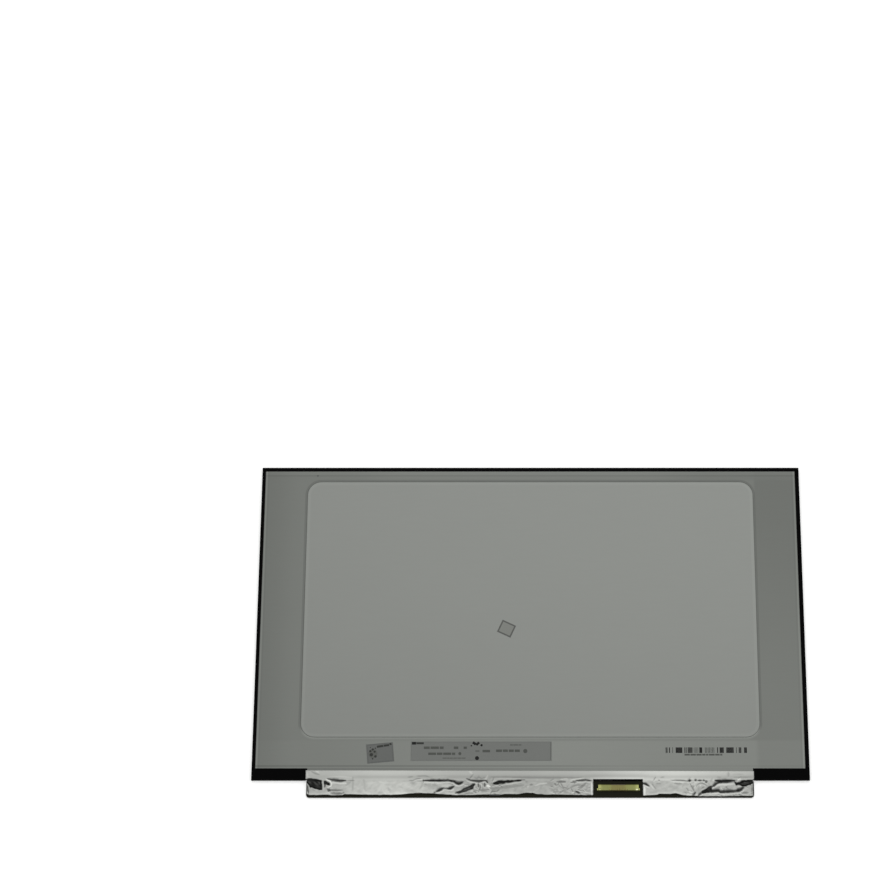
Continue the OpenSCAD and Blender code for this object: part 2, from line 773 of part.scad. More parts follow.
// Insulating moulding: rear bar, slotted floor and two cheeks
module receptacle_moulding() {
    slot_w = contact_w + 2 * contact_gap;
    xs = [shell_x - x_moulding, shell_x + x_moulding];
    ys = [y_mouth + shell_gap, y_bar_front + cut / 4];
    color("#5c4426") difference() {
        union() {
            block(xs, [y_bar_front, y_bar_rear], [z_moulding, z_moulding_top]);
            block(xs, ys, [z_moulding, z_floor]);
            for (s = [-1, 1])
                translate([shell_x + s * (x_moulding - cheek_w / 2), 0, 0]) {
                    block([-cheek_w / 2, cheek_w / 2], ys, [z_moulding, z_moulding_top]);
                    translate([0, (y_bar_front + y_mouth) / 2, z_board_rear])
                        cylinder(d = cheek_w / 2, h = 2 * moulding_lift);
                }
        }
        for (x = contact_xs) {
            block([x - slot_w / 2, x + slot_w / 2], [y_bar_front, y_bar_rear + cut],
                  [z_moulding - cut, z_contact + contact_t + contact_gap]);
            block([x - slot_w / 2, x + slot_w / 2], [y_mouth, y_bar_front + cut / 4],
                  [z_contact, z_floor + cut / 8]);
        }
    }
}

// Stamped shell: roof, two ends with solder feet, lock windows, spring tongues and a notch at the back
module receptacle_shell() {
    foot = 0.7;
    foot_d = 1.3;
    foot_in = 0.7;
    z_roof = z_shell_in + shell_t;
    lock_w = 1.8;
    lock_d = 1.1;
    lock_in = 0.6;
    tongue_w = 1.4;
    tongue_d = 1.5;
    slit = 0.15;
    back_notch_w = 9;
    back_notch_d = 0.45;
    color("#a39a55") difference() {
        union() {
            block([shell_x - shell_w / 2, shell_x + shell_w / 2], [y_mouth, y_shell_back],
                  [z_shell_in, z_roof]);
            for (s = [-1, 1]) {
                translate([shell_x + s * (shell_w - shell_t) / 2, 0, 0])
                    block([-shell_t / 2, shell_t / 2], [y_mouth, y_shell_back], [z_board_rear, z_roof]);
                translate([shell_x + s * (shell_w + foot - shell_t) / 2, y_mouth + foot_in, z_board_rear])
                    block([-(foot + shell_t) / 2, (foot + shell_t) / 2], [0, foot_d], [0, shell_t]);
            }
        }
        translate([shell_x, y_shell_back, z_shell_in])
            block([-back_notch_w / 2, back_notch_w / 2], [-back_notch_d, cut], [-cut / 8, cut]);
        for (s = [-1, 1])
            translate([shell_x + s * (x_moulding - cheek_w / 2), y_mouth + lock_in, z_shell_in])
                block([-lock_w / 2, lock_w / 2], [0, lock_d], [-cut / 8, cut]);
        for (x = pitched(shell_w / 2 - cheek_w - tongue_w, 5))
            translate([shell_x + x, y_mouth + lock_in, z_shell_in]) difference() {
                block([-tongue_w / 2 - slit, tongue_w / 2 + slit], [-slit, tongue_d], [-cut / 8, cut]);
                block([-tongue_w / 2, tongue_w / 2], [0, tongue_d + cut], [-cut, 2 * cut]);
            }
    }
}

// Contact springs: a solder tail, a rise through the bar, a beam in the floor and a raised tip
module receptacle_contacts() {
    y_tip = y_mouth + contact_tip_back;
    side = [
        [y_shell_back + tail_out, z_board_rear],
        [y_bar_rear - 0.2, z_board_rear],
        [y_bar_rear - 0.55, z_contact],
        [y_tip + 1, z_contact],
        [y_tip + 0.5, z_contact + bump_h],
        [y_tip, z_contact]
    ];
    color("#c9b25a")
        for (x = contact_xs)
            ribbon(side, contact_t, x, contact_w);
}

module timing_controller() {
    color("#1d1f22") flat_chip(along(controller_at), across(row_ys[2]), controller_s, controller_h);
}

module power_chips() {
    color("#202225")
        for (u = power_at)
            flat_chip(along(u), across(row_ys[2]), power_s, power_h);
}

module memory_chip() {
    body_d = 0.78 * memory_s;
    leg_pitch = memory_s / 4;
    leg_w = 0.3 * leg_pitch;
    leg_reach = 0.18 * memory_s;
    color("#1b1c1f") translate([along(memory_at), across(row_ys[2]), z_board_rear]) {
        block([-memory_s / 2, memory_s / 2], [-body_d / 2, body_d / 2], [moulding_lift, memory_h]);
        for (i = [-1.5 : 1 : 1.5])
            block([i * leg_pitch - leg_w / 2, i * leg_pitch + leg_w / 2],
                  [-body_d / 2 - leg_reach, body_d / 2 + leg_reach], [0, 2 * moulding_lift]);
    }
}

module inductors() {
    flange = inductor_h / 8;
    half = inductor_s / 2;
    color("#3b3c40")
        for (u = inductor_at)
            translate([along(u), across(row_ys[2]), z_board_rear]) {
                block([-half, half], [-half, half], [0, flange]);
                cylinder(r = half - flange, h = inductor_h);
                block([-half, half], [-half, half], [inductor_h - flange, inductor_h]);
            }
}

module capacitors() {
    color("#b89a6a") {
        two_ended_row(left_group, 4, row_ys[1], [capacitor_l, capacitor_w, capacitor_h]);
        two_ended_row(middle_group, 5, row_ys[4], [capacitor_l, capacitor_w, capacitor_h]);
        for (row = [1, 3])
            two_ended_row(right_group, 6, row_ys[row], [capacitor_l, capacitor_w, capacitor_h]);
    }
}

module resistors() {
    color("#26282c") {
        for (row = [3, 4])
            two_ended_row(left_group, 7, row_ys[row], [resistor_l, resistor_w, resistor_h]);
        two_ended_row(right_group, 13, row_ys[0], [resistor_l, resistor_w, resistor_h]);
    }
}

// Rear foil: flat on the plate, wrinkled over the board's parts, notched round the receptacle
module rear_foil() {
    left = spread(x_foil_left, notch_xs[0] - notch_edge, foil_step);
    middle = spread(notch_xs[0], notch_xs[1], notch_w / 2);
    right = spread(notch_xs[1] + notch_edge, x_foil_right, foil_step);
    xs = concat(left, middle, right);
    lows = concat([for (x = left) foil_edge(x)], [for (x = middle) y_notch], [for (x = right) foil_edge(x)]);
    shares = [for (r = [0 : foil_rows]) r / foil_rows];
    ys = [for (low = lows) concat([y_foil_top], [for (v = shares) mix(y_foil_bend, low, v)])];
    under = [for (r = [0 : foil_rows + 1])
        [for (c = [0 : len(xs) - 1]) [xs[c], ys[c][r], foil_z(xs[c], ys[c][r])]]];
    color("#b4b6b2") sheet([for (row = under) [for (p = row) [p[0], p[1], p[2] + foil_t]]], under);
}

// Front foil: lies on the board's front face and lifts off it in wrinkles
module front_foil() {
    xs = spread(x_foil_left, x_foil_right, front_step);
    y_start = y_cover_low - edge_gap;
    rows = [for (r = [0 : front_rows]) r / front_rows];
    upper = [for (v = rows) [for (x = xs)
        let (y = mix(y_start, y_low + foil_back, v))
        [x, y, board_z - front_wrinkle_h * crumple(x + 40, y) * ease(4 * v * (1 - v))]]];
    color("#b9bbb8") sheet(upper, [for (row = upper) [for (p = row) [p[0], p[1], p[2] - foil_t]]]);
}

// Labels on the plate and the sticker on the drawn field
module main_label() {
    x = field_xs[0] + main_label_in;
    y = y_field_low - main_label_gap;
    color("#6a6c69")
        block([x, x + main_label_w], [y - main_label_h, y], [z_plate, z_plate + label_t]);
}

module small_label() {
    w = small_label_w / 2;
    h = small_label_h / 2;
    y = y_field_low - main_label_gap - main_label_h / 2 - small_label_drop;
    color("#646663")
        translate([field_xs[0] + small_label_in, y, z_plate]) rotate([0, 0, small_label_turn])
            block([-w, w], [-h, h], [0, label_t]);
}

module centre_sticker() {
    color("#595b58")
        translate([(field_xs[0] + field_xs[1]) / 2 + sticker_right, y_field_mid + sticker_up, z_field])
            rotate([0, 0, sticker_turn])
                block([-sticker_w / 2, sticker_w / 2], [-sticker_h / 2, sticker_h / 2], [0, label_t]);
}

front_polarizer();
filter_glass();
transistor_glass();
rear_polarizer();
glass_adhesive();
driver_chips();
signal_films();
cover_film();
edge_tape();
mould_frame();
upper_prism_sheet();
lower_prism_sheet();
diffuser_sheet();
light_guide();
reflector_sheet();
lamp_strip();
lamps();
lamp_tail();
tail_socket();
back_plate();
circuit_board();
receptacle_moulding();
receptacle_shell();
receptacle_contacts();
timing_controller();
power_chips();
memory_chip();
inductors();
capacitors();
resistors();
rear_foil();
front_foil();
main_label();
small_label();
centre_sticker();
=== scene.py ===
# %% [markdown]
# # A laptop screen panel, lying on its picture side
#
# The real thing is a thin sandwich. Two sheets of glass and a stack of light sheets sit in a moulded frame,
# a stamped metal tray closes the back, black tape binds the edges, and a narrow circuit board hangs below
# the tray under a crumpled foil. We look down on its back.
#
# The CAD model already holds every piece at its real size. This script loads it as a frame that never
# moves, gives each piece its finish, and models again only what CAD keeps plain: the foils and the print.

import math

import bpy
import numpy as np
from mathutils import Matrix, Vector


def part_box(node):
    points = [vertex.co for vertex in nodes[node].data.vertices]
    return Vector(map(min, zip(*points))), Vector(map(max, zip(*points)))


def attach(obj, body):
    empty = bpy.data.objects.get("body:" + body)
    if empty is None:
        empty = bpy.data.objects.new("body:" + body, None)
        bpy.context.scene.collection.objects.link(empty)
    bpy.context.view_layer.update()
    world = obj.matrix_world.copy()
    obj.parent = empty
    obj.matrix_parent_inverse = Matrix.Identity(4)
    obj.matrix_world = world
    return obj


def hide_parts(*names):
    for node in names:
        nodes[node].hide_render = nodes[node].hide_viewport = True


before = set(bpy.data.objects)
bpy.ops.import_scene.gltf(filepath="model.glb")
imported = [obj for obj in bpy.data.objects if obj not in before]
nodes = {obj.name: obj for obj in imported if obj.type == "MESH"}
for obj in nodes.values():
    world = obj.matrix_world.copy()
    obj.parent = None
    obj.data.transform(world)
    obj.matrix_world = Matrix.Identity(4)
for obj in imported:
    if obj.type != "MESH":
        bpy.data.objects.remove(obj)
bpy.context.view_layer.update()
MM = 0.001

# %% [markdown]
# ## Three helpers
#
# Colours are written as a screen shows them, so one function turns them to the linear numbers that shaders
# work in. Nodes could be wired by hand in the editor, but a script that adds each one with its settings and
# links in one call can be read as a list of steps. The third function measures a CAD piece in millimetres,
# so that what we model here takes its place from the piece that carries it.

# %% Colour, node and size helpers
def srgb(code, share=1.0):
    """Linear colour of "#rrggbb": each channel through the sRGB curve, then times share."""
    channels = [int(code[i:i + 2], 16) / 255 for i in (1, 3, 5)]
    linear = [c / 12.92 if c <= 0.04045 else ((c + 0.055) / 1.055) ** 2.4 for c in channels]
    return [share * c for c in linear] + [1.0]


def add(tree, kind, inputs=None, **settings):
    """Adds one shader node. An input is a plain value, an output, or a node, for its first live output."""
    new = tree.nodes.new("ShaderNode" + kind)
    for name, value in settings.items():
        setattr(new, name, value)
    for socket, value in (inputs or {}).items():
        if isinstance(value, bpy.types.Node):
            value = next(output for output in value.outputs if output.enabled)
        if isinstance(value, bpy.types.NodeSocket):
            tree.links.new(value, new.inputs[socket])
        else:
            new.inputs[socket].default_value = value
    return new


def span(node):
    """Lowest and highest corner of a CAD piece, in millimetres, as two arrays."""
    low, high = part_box(node)
    return np.array(low) / MM, np.array(high) / MM


foil_low, foil_high = span("rear_foil")
print("rear foil in mm:", foil_low.round(2), foil_high.round(2))

# %% [markdown]
# ## Camera
#
# The panel is photographed from about one and a half metres with a long lens, tipped a little towards its
# lower edge. A long lens keeps opposite edges nearly parallel, which is why the panel looks almost like a
# flat drawing. The place and turn were fitted to the panel's corners. They only agree when the lens axis
# passes to the left of the panel, as it does when a picture is cut out of a wider one, so the view is
# shifted by that much and no more.

# %% The camera
PICTURE_SIDE = 880
FOCAL_IN_PIXELS = 2330
AXIS_RIGHT_IN_PIXELS = 90.7
CAMERA_PLACE = (0.00027, -0.34727, 1.45848)
CAMERA_TURN = (18.0532, 0.0073, -0.0009)

camera_data = bpy.data.cameras.new("Camera")
camera_data.sensor_width = 36
camera_data.lens = camera_data.sensor_width * FOCAL_IN_PIXELS / PICTURE_SIDE
camera_data.shift_x = -AXIS_RIGHT_IN_PIXELS / PICTURE_SIDE
camera = bpy.data.objects.new("Camera", camera_data)
camera.location = CAMERA_PLACE
camera.rotation_euler = [math.radians(a) for a in CAMERA_TURN]
bpy.context.scene.collection.objects.link(camera)
bpy.context.scene.camera = camera
print("lens in mm:", round(camera_data.lens, 2))

# %% [markdown]
# ## Light and floor
#
# Sheet metal shows what it reflects, so it needs something large and soft to reflect. Small lamps would put
# hot spots on it. One big lamp hangs where a mirror lying on the floor would show it to the camera: then
# the plate is lit evenly from edge to edge, and only the steep walls of the creases look past it and go
# dark, which draws the wrinkles. A grey world keeps the shadows open.
#
# The floor is pale. To the camera, and in reflections, it also glows a little, so the background is white
# while the panel still throws its shadow on it.

# %% World, lamps and floor
bpy.context.scene.view_settings.view_transform = "Standard"

WORLD_LEVEL = 0.66
GLOW_LEVEL = 0.36
FLOOR_REACH = 6.0
world = bpy.data.worlds.new("Studio")
world.use_nodes = True
world.node_tree.nodes["Background"].inputs["Color"].default_value = srgb("#f6f7f8")
world.node_tree.nodes["Background"].inputs["Strength"].default_value = WORLD_LEVEL
bpy.context.scene.world = world


def soft_lamp(name, place, width, height, radiance):
    """A rectangular lamp at place, in metres, facing down. Its power is pi * area * radiance."""
    data = bpy.data.lights.new(name, "AREA")
    data.shape = "RECTANGLE"
    data.size = width
    data.size_y = height
    data.energy = math.pi * width * height * radiance
    lamp = bpy.data.objects.new(name, data)
    lamp.location = place
    bpy.context.scene.collection.objects.link(lamp)
    return lamp


soft_lamp("Key_lamp", place=(0.0, 0.36, 1.4), width=1.7, height=1.3, radiance=1.15)
soft_lamp("Side_lamp", place=(1.25, -0.2, 1.5), width=0.5, height=0.9, radiance=1.0)

floor_mesh = bpy.data.meshes.new("Floor")
corners = [(x * FLOOR_REACH, y * FLOOR_REACH, 0) for x, y in ((-1, -1), (1, -1), (1, 1), (-1, 1))]
floor_mesh.from_pydata(corners, [], [(0, 1, 2, 3)])
floor = bpy.data.objects.new("Floor", floor_mesh)
bpy.context.scene.collection.objects.link(floor)

floor_finish = bpy.data.materials.new("Pale_studio_paper")
floor_finish.use_nodes = True
tree = floor_finish.node_tree
tree.nodes.clear()
paper = add(tree, "BsdfDiffuse", {"Color": srgb("#eeeeec")})
glow = add(tree, "Emission", {"Color": (1, 1, 1, 1), "Strength": GLOW_LEVEL})
ray = add(tree, "LightPath")
seen = add(tree, "Math", {0: ray.outputs["Is Camera Ray"], 1: ray.outputs["Is Glossy Ray"]}, operation="ADD")
seen = add(tree, "Math", {0: seen, 1: ray.outputs["Is Transmission Ray"]}, operation="ADD", use_clamp=True)
dark = add(tree, "Emission", {"Strength": 0.0})
glow = add(tree, "MixShader", {0: seen, 1: dark, 2: glow})
add(tree, "OutputMaterial", {"Surface": add(tree, "AddShader", {0: paper, 1: glow})})
floor_mesh.materials.append(floor_finish)
print("floor and lamps stand")

# %% [markdown]
# ## What every finish shares
#
# Real surfaces are never one flat colour. Each finish here has a slow drift of tone and a fine grain that
# also tips the surface a little. A picture wrapped round the piece could do this, but it would stretch and
# blur. Noise that reads the Object position in millimetres stays put, and every size in it is a real one.
#
# A piece that needs more than that brings a painter: a function that adds its own nodes and hands back a
# colour and a list of grey factors. The finish multiplies them all together.

# %% Grain, soft lines and the shared finish
MULTIPLY = dict(operation="MULTIPLY")
SMOOTH = dict(interpolation_type="SMOOTHSTEP")
NOISE_LOW, NOISE_HIGH = 0.2, 0.8


def speckle(tree, place, size_mm, amount, stretch=(1, 1, 1)):
    """Noise with blobs size_mm across: its height, and the factor 1 - amount to 1 + amount over its range."""
    cell = add(tree, "Mapping", {"Vector": place, "Scale": stretch})
    noise = add(tree, "TexNoise", {"Vector": cell, "Scale": 1 / size_mm, "Detail": 3.0})
    return noise, add(tree, "MapRange", {0: noise, 1: NOISE_LOW, 2: NOISE_HIGH, 3: 1 - amount, 4: 1 + amount})


def away_from(tree, value, centre):
    """How far a value is from centre, on either side: |value - centre|."""
    gap = add(tree, "Math", {0: value, 1: centre}, operation="SUBTRACT")
    return add(tree, "Math", {0: gap}, operation="ABSOLUTE")


def soft_line(tree, value, centre, half_width, factor):
    """factor where value is within half_width of centre, 1 elsewhere, with soft flanks of the same width."""
    gap = away_from(tree, value, centre)
    near, far = 0.5 * half_width, 1.5 * half_width
    return add(tree, "MapRange", {0: gap, 1: near, 2: far, 3: factor, 4: 1.0}, **SMOOTH)


def colour_change(tree, value, start, end, first, second):
    """The colour first where value is at start, second where it is at end, and a soft change between."""
    share = add(tree, "MapRange", {0: value, 1: start, 2: end, 3: 0, 4: 1}, **SMOOTH)
    return add(tree, "Mix", {0: share, 6: first, 7: second}, data_type="RGBA")


print("helpers for grain, lines and colour changes are ready")


# %% The finish that every piece gets
def finish(name, colour, roughness, painter=None, grain_mm=0.6, tone=0.06, relief_mm=0.01, drift_mm=20.0,
           stretch=(1, 1, 1), metallic=0.0, ior=1.5, specular=0.5, **sockets):
    """A whole material: colour times the painter's tones, a slow drift and a fine grain, and its own gloss.

    tone is how far the grain lightens and darkens, and relief_mm how far it rises. Metals keep their IOR.
    """
    material = bpy.data.materials.new(name)
    material.use_nodes = True
    tree = material.node_tree
    tree.nodes.clear()
    here = add(tree, "TexCoord").outputs["Object"]
    place = add(tree, "VectorMath", {0: here, "Scale": 1 / MM}, operation="SCALE")
    shade, factors = painter(tree, place) if painter else (srgb(colour)[:3], [])
    grain, fine = speckle(tree, place, grain_mm, tone, stretch)
    slow = speckle(tree, place, drift_mm, tone / 2)[1]
    for factor in (*factors, fine, slow):
        shade = add(tree, "VectorMath", {0: shade, 1: factor}, **MULTIPLY)
    bump = add(tree, "Bump", {"Height": grain, "Strength": 0.5, "Distance": relief_mm * MM})
    gloss = {"Roughness": roughness, "Metallic": metallic, **sockets}
    if metallic == 0:
        gloss.update({"IOR": ior, "Specular IOR Level": specular})
    shader = add(tree, "BsdfPrincipled", {"Base Color": shade, "Normal": bump, **gloss})
    add(tree, "OutputMaterial", {"Surface": shader})
    return material


def dress(node, *look, **settings):
    """Gives a CAD piece its own finish, in every slot that it has. It takes what finish takes."""
    material = finish(*look, **settings)
    mesh = nodes[node].data
    if not mesh.materials:
        mesh.materials.append(material)
    for i in range(len(mesh.materials)):
        mesh.materials[i] = material


print(len(nodes), "CAD pieces wait for a finish")

# %% [markdown]
# ## Back plate
#
# The tray is thin zinc-coated sheet, pressed in a die. Its large drawn field is a little lighter than the
# land round it. Painted shade draws a dark line round the field where the sheet bends, a painted highlight
# lies on its lower wall and crest, the cut edge beside the tape gets a painted highlight with painted shade
# inside it, the groove gets painted shade, and the light across field and land is painted as slow changes.
#
# The drawn field is in the mesh, and its walls shade by themselves. The tones could be painted on a picture
# of the plate, but then they would blur close up, so the finish works them out. It needs to know how far a
# point is from the field's edge, so a few vector steps give the distance to a rounded rectangle: fold the
# point into one quarter, cut off the straight part, and measure what is left.

# %% Distance to a rounded rectangle
def edge_distance(tree, place, low, high, radius):
    """Distance in mm to a rounded rectangle, below 0 inside: |max(|p - middle| - (half - r), 0)| - r."""
    middle = [-(low[i] + high[i]) / 2 for i in (0, 1)]
    half = [(high[i] - low[i]) / 2 - radius for i in (0, 1)]
    moved = add(tree, "VectorMath", {0: place, 1: (1, 1, 0), 2: (*middle, 0)}, operation="MULTIPLY_ADD")
    folded = add(tree, "VectorMath", {0: moved}, operation="ABSOLUTE")
    cut = add(tree, "VectorMath", {0: folded, 1: (*half, 0)}, operation="SUBTRACT")
    outside = add(tree, "VectorMath", {0: cut, 1: (0, 0, 0)}, operation="MAXIMUM")
    length = add(tree, "VectorMath", {0: outside}, operation="LENGTH")
    return add(tree, "Math", {0: length, 1: radius}, operation="SUBTRACT")


# %% The plate's own lines, and soft fades
FIELD_LOW, FIELD_HIGH, FIELD_RADIUS = (-145.65, -70.325), (145.27, 98.725), 9.2
WINDOW_MIDDLE = -0.2
GROOVE_LOW, GROOVE_HIGH = -89.745, -88.345


def fades(tree, start, runs, steps="VectorMath", curve="SMOOTHSTEP"):
    """start times each fade. A fade is (value, from, to, factor at from, factor at to)."""
    for value, low, high, first, last in runs:
        ends = {0: value, 1: low, 2: high, 3: first, 4: last}
        fade = add(tree, "MapRange", ends, interpolation_type=curve)
        start = add(tree, steps, {0: start, 1: fade}, **MULTIPLY)
    return start


print("drawn field in mm:", FIELD_LOW, "to", FIELD_HIGH, "with corners of", FIELD_RADIUS)


# %% Satin stamped sheet
def paint_plate(tree, place):
    """Field and land with slow changes of painted light, then the painted highlights and shade lines at the
    field's rim, the cut edges and the groove.
    """
    axes = add(tree, "SeparateXYZ", {0: place})
    x, y = axes.outputs["X"], axes.outputs["Y"]
    across = away_from(tree, x, WINDOW_MIDDLE)
    to_field = edge_distance(tree, place, FIELD_LOW, FIELD_HIGH, FIELD_RADIUS)

    # Painted light: the land is darker at its left end, lighter in the middle under and over the field, and
    # right of it darker towards the top; the field is lighter towards the top and the right
    under = fades(tree, 1, [(x, -150, 10, 1.04, 1.25), (x, 20, 120, 1, 0.95), (x, 141, 145, 1, 0.9)], "Math")
    over = fades(tree, 1, [(x, -125, -80, 0.99, 1.06), (x, 70, 120, 1, 0.9), (x, 145, 147, 1, 1.1)], "Math")
    beside = fades(tree, 1, [(y, -60, 100, 1.0, 0.88)], "Math")
    land = fades(tree, srgb("#6a6c68")[:3], [(x, -172, -147, 0.9, 1.02), (y, 98.5, 101, 1, over),
                                             (y, -71, -73, 1, under), (x, 145, 147, 1, beside)])
    field = fades(tree, srgb("#7c7e7a")[:3], [(x, -150, 150, 0.96, 1.03), (y, -75, 100, 0.95, 1.06)],
                  curve="LINEAR")
    colour = colour_change(tree, to_field, 0.1, -0.6, land, field)

    # Painted highlight on the field's lower wall, which looks towards us, and painted shade round the rest of
    # its rim. The painted shade lines at the groove grow faint to the right
    edge = add(tree, "MapRange", {0: y, 1: -62, 2: -69, 3: 0.83, 4: 1.13}, **SMOOTH)
    crest_highlight = add(tree, "MapRange", {0: y, 1: -62, 2: -69, 3: 1.0, 4: 1.5}, **SMOOTH)
    fading = add(tree, "MapRange", {0: x, 1: -10, 2: 70, 3: 0.79, 4: 0.95}, **SMOOTH)
    # Each line is (value, where, half width, factor): a painted highlight above 1, painted shade below
    field_rim_light_and_shade = [(to_field, 0.6, 0.55, edge), (to_field, -0.05, 0.25, crest_highlight), (to_field, -1.6, 0.9, 1.05)]
    top_edge_light_and_shade = [(y, 104.4, 1.1, 1.05), (y, 102.6, 0.45, 0.88)]
    cut_edge_light_and_shade = [(across, 172.0, 0.4, 1.25), (across, 170.9, 0.5, 0.95)]
    groove = [(y, GROOVE_HIGH + 0.1, 0.5, fading), (y, GROOVE_LOW - 0.4, 0.5, fading)]
    return colour, [soft_line(tree, *line) for line in field_rim_light_and_shade + top_edge_light_and_shade + cut_edge_light_and_shade + groove]


# Zinc on rolled sheet mirrors the room softly, drawn out along the roll. The grain is finer: 0.8 mm shows
dress("back_plate", "Satin_stamped_sheet", "#6a6c68", 0.46, paint_plate, grain_mm=0.8, tone=0.012,
      stretch=(0.06, 1, 1), drift_mm=45, metallic=1.0, relief_mm=0.004)
print("back plate is dressed")

# %% [markdown]
# ## Tape, glass and frame
#
# All of this is black, and one black for everything would look like a hole. Real blacks differ in their
# gloss, so each gets its own. The tape is matt, but in a soft room it still mirrors a few per cent of the
# light, which on black is a lot, so its specular level is low. The front polarizer has an etched anti-glare
# skin: a fine random relief that blurs every reflection. A black mask printed on the glass frames the
# picture, and through the skin it looks slightly darker than the sleeping picture itself.

# %% Tape, cover film, glass and frame
# Matt-coated polyester film: a dead black, faintly mottled where the adhesive behind it is uneven
dress("edge_tape", "Black_polyester_tape", "#050505", 0.6, specular=0.02, grain_mm=0.5, tone=0.12,
      relief_mm=0.004)
# The same film without the matt coat: a soft broad highlight
dress("cover_film", "Black_cover_film", "#060607", 0.5, specular=0.06, grain_mm=0.7, relief_mm=0.004)
# Moulded in a spark-eroded steel tool: an even half gloss with a fine grain
dress("mould_frame", "Moulded_black_polycarbonate", "#0c0c0d", 0.45, ior=1.58, specular=0.2, grain_mm=0.4)
# Foamed acrylic adhesive: it swallows the light, and its cells show
dress("glass_adhesive", "Black_foam_adhesive", "#101010", 0.8, grain_mm=0.3, relief_mm=0.02)
# Drawn glass with printed layers: sharp, clear reflections over a dark ground
for pane, name, colour in (("filter_glass", "Colour_filter_glass", "#14181a"),
                           ("transistor_glass", "Transistor_glass", "#181d1f")):
    dress(pane, name, colour, 0.05, ior=1.52, grain_mm=2.0, tone=0.03, relief_mm=0.001)
# Stretched and dyed film: smooth grey, with hardly any grain
dress("rear_polarizer", "Rear_polarizer_film", "#26282a", 0.2, ior=1.49, grain_mm=3.0, tone=0.03,
      relief_mm=0.002)
print("tape, glass and frame are dressed")

# %% The picture behind its anti-glare skin
PICTURE_LOW, PICTURE_HIGH = (-172.08, -90.245), (172.08, 103.345)


def paint_polarizer(tree, place):
    """The picture, a little lighter towards its lower edge, inside the black mask."""
    y = add(tree, "SeparateXYZ", {0: place}).outputs["Y"]
    picture = colour_change(tree, y, 100, -95, srgb("#0d0d0e"), srgb("#1c1c1d"))
    to_picture = edge_distance(tree, place, PICTURE_LOW, PICTURE_HIGH, 0.3)
    return colour_change(tree, to_picture, 0.2, -0.2, srgb("#060607"), picture), []


# The skin is etched: no sharp reflection, a grey veil. Its grain of about 0.02 mm is drawn at 0.25 mm to show
dress("front_polarizer", "Anti_glare_polarizer", "#0d0d0e", 0.38, paint_polarizer, grain_mm=0.25, tone=0.08,
      relief_mm=0.003, ior=1.49, specular=0.35)
print("picture in mm:", PICTURE_LOW, "to", PICTURE_HIGH)

# %% [markdown]
# ## Inside the sandwich
#
# None of these sheets shows from outside. They could be left plain, but the model can be taken apart, so
# each gets the finish that it has on a bench: prism films with a silky one-way sheen, a milky diffuser, a
# clear acrylic light guide, and a strip of small white lamps with yellow windows. The reflector is white
# towards the picture, and its back is painted dark grey as the shade in the locating hole in the tray, where
# a dot of it shows.

# %% Light sheets, lamps and their strip
def paint_reflector_and_hole_shade(tree, place):
    """White film, with dark grey painted on its back, everything within 0.02 mm of the rear face: painted
    shade for the locating hole in the tray.
    """
    z = add(tree, "SeparateXYZ", {0: place}).outputs["Z"]
    back = span("reflector_sheet")[1][2]
    return colour_change(tree, z, back - 0.02, back - 0.01, srgb("#f5f5f1"), srgb("#3a3c39")), []


# Rows of prisms are cast on a film 0.05 mm apart and pull the gloss one way. They are drawn 0.5 mm apart
prism = dict(roughness=0.18, ior=1.56, grain_mm=0.5, tone=0.04, relief_mm=0.02, stretch=(0.02, 1, 1))
dress("upper_prism_sheet", "Upper_prism_film", "#e3e9ee", Anisotropic=0.6, **prism)
dress("lower_prism_sheet", "Lower_prism_film", "#dde5ec", Anisotropic=0.6, **prism)
# Film coated with tiny beads: white, with hardly a highlight
dress("diffuser_sheet", "Milky_diffuser_film", "#f2f3f3", 0.55, ior=1.56, relief_mm=0.004)
# Extruded and polished acrylic: clear, with bright edges
dress("light_guide", "Clear_acrylic_sheet", "#dfeceb", 0.04, ior=1.49, grain_mm=1.5, tone=0.02,
      relief_mm=0.001, **{"Transmission Weight": 0.9})
# Film blown full of fine bubbles, which scatter the light back: a soft, slightly glossy white
dress("reflector_sheet", "White_reflector_film", "#f5f5f1", 0.3, paint_reflector_and_hole_shade, ior=1.6, relief_mm=0.002)
# White resist printed on film: creamy, half matt
dress("lamp_strip", "White_printed_film", "#e6e2d0", 0.4, ior=1.6, relief_mm=0.003)
# Phosphor stirred into silicone: yellow with a visible grain
dress("lamps", "Lamp_body_and_phosphor", "#efd27c", 0.35, grain_mm=0.3, tone=0.12, relief_mm=0.005)
print("the light stack is dressed")

# %% [markdown]
# ## Circuit board and its parts
#
# The board is glass fibre under black solder resist, which has a slightly uneven gloss where it flowed
# over the copper. The receptacle's shell is stamped brass with an olive-gold plating: metal takes its
# colour from its reflection, so the base colour carries it. It could be one gold all over, but it gets
# painted highlights at its two ends, where the sheet turns down, is browner over its middle, and has painted
# shade at its mouth and rear edge, and that tells the eye that it is bent sheet. The contacts' solder tails
# behind it get painted shade.

# %% Board, receptacle and films
shell_low, shell_high = span("receptacle_shell")


def paint_contacts_and_tail_shade(tree, place):
    """Gold where the plug touches, and painted shade, near black, on the solder tails behind the shell."""
    y = add(tree, "SeparateXYZ", {0: place}).outputs["Y"]
    rear = shell_high[1] - 0.2
    return colour_change(tree, y, rear - 0.4, rear, srgb("#b8964a"), srgb("#15130d")), []


# Resist poured over tracks: black with an olive cast, mottled every few millimetres
dress("circuit_board", "Black_solder_resist", "#16160a", 0.4, ior=1.55, specular=0.05, grain_mm=0.5, tone=0.2,
      relief_mm=0.012, drift_mm=4)
# Moulded with glass fibre in it: brown and dull, streaked the way that it flowed
dress("receptacle_moulding", "Brown_liquid_crystal_polymer", "#3f3019", 0.5, ior=1.6, grain_mm=0.3,
      stretch=(1, 0.3, 1))
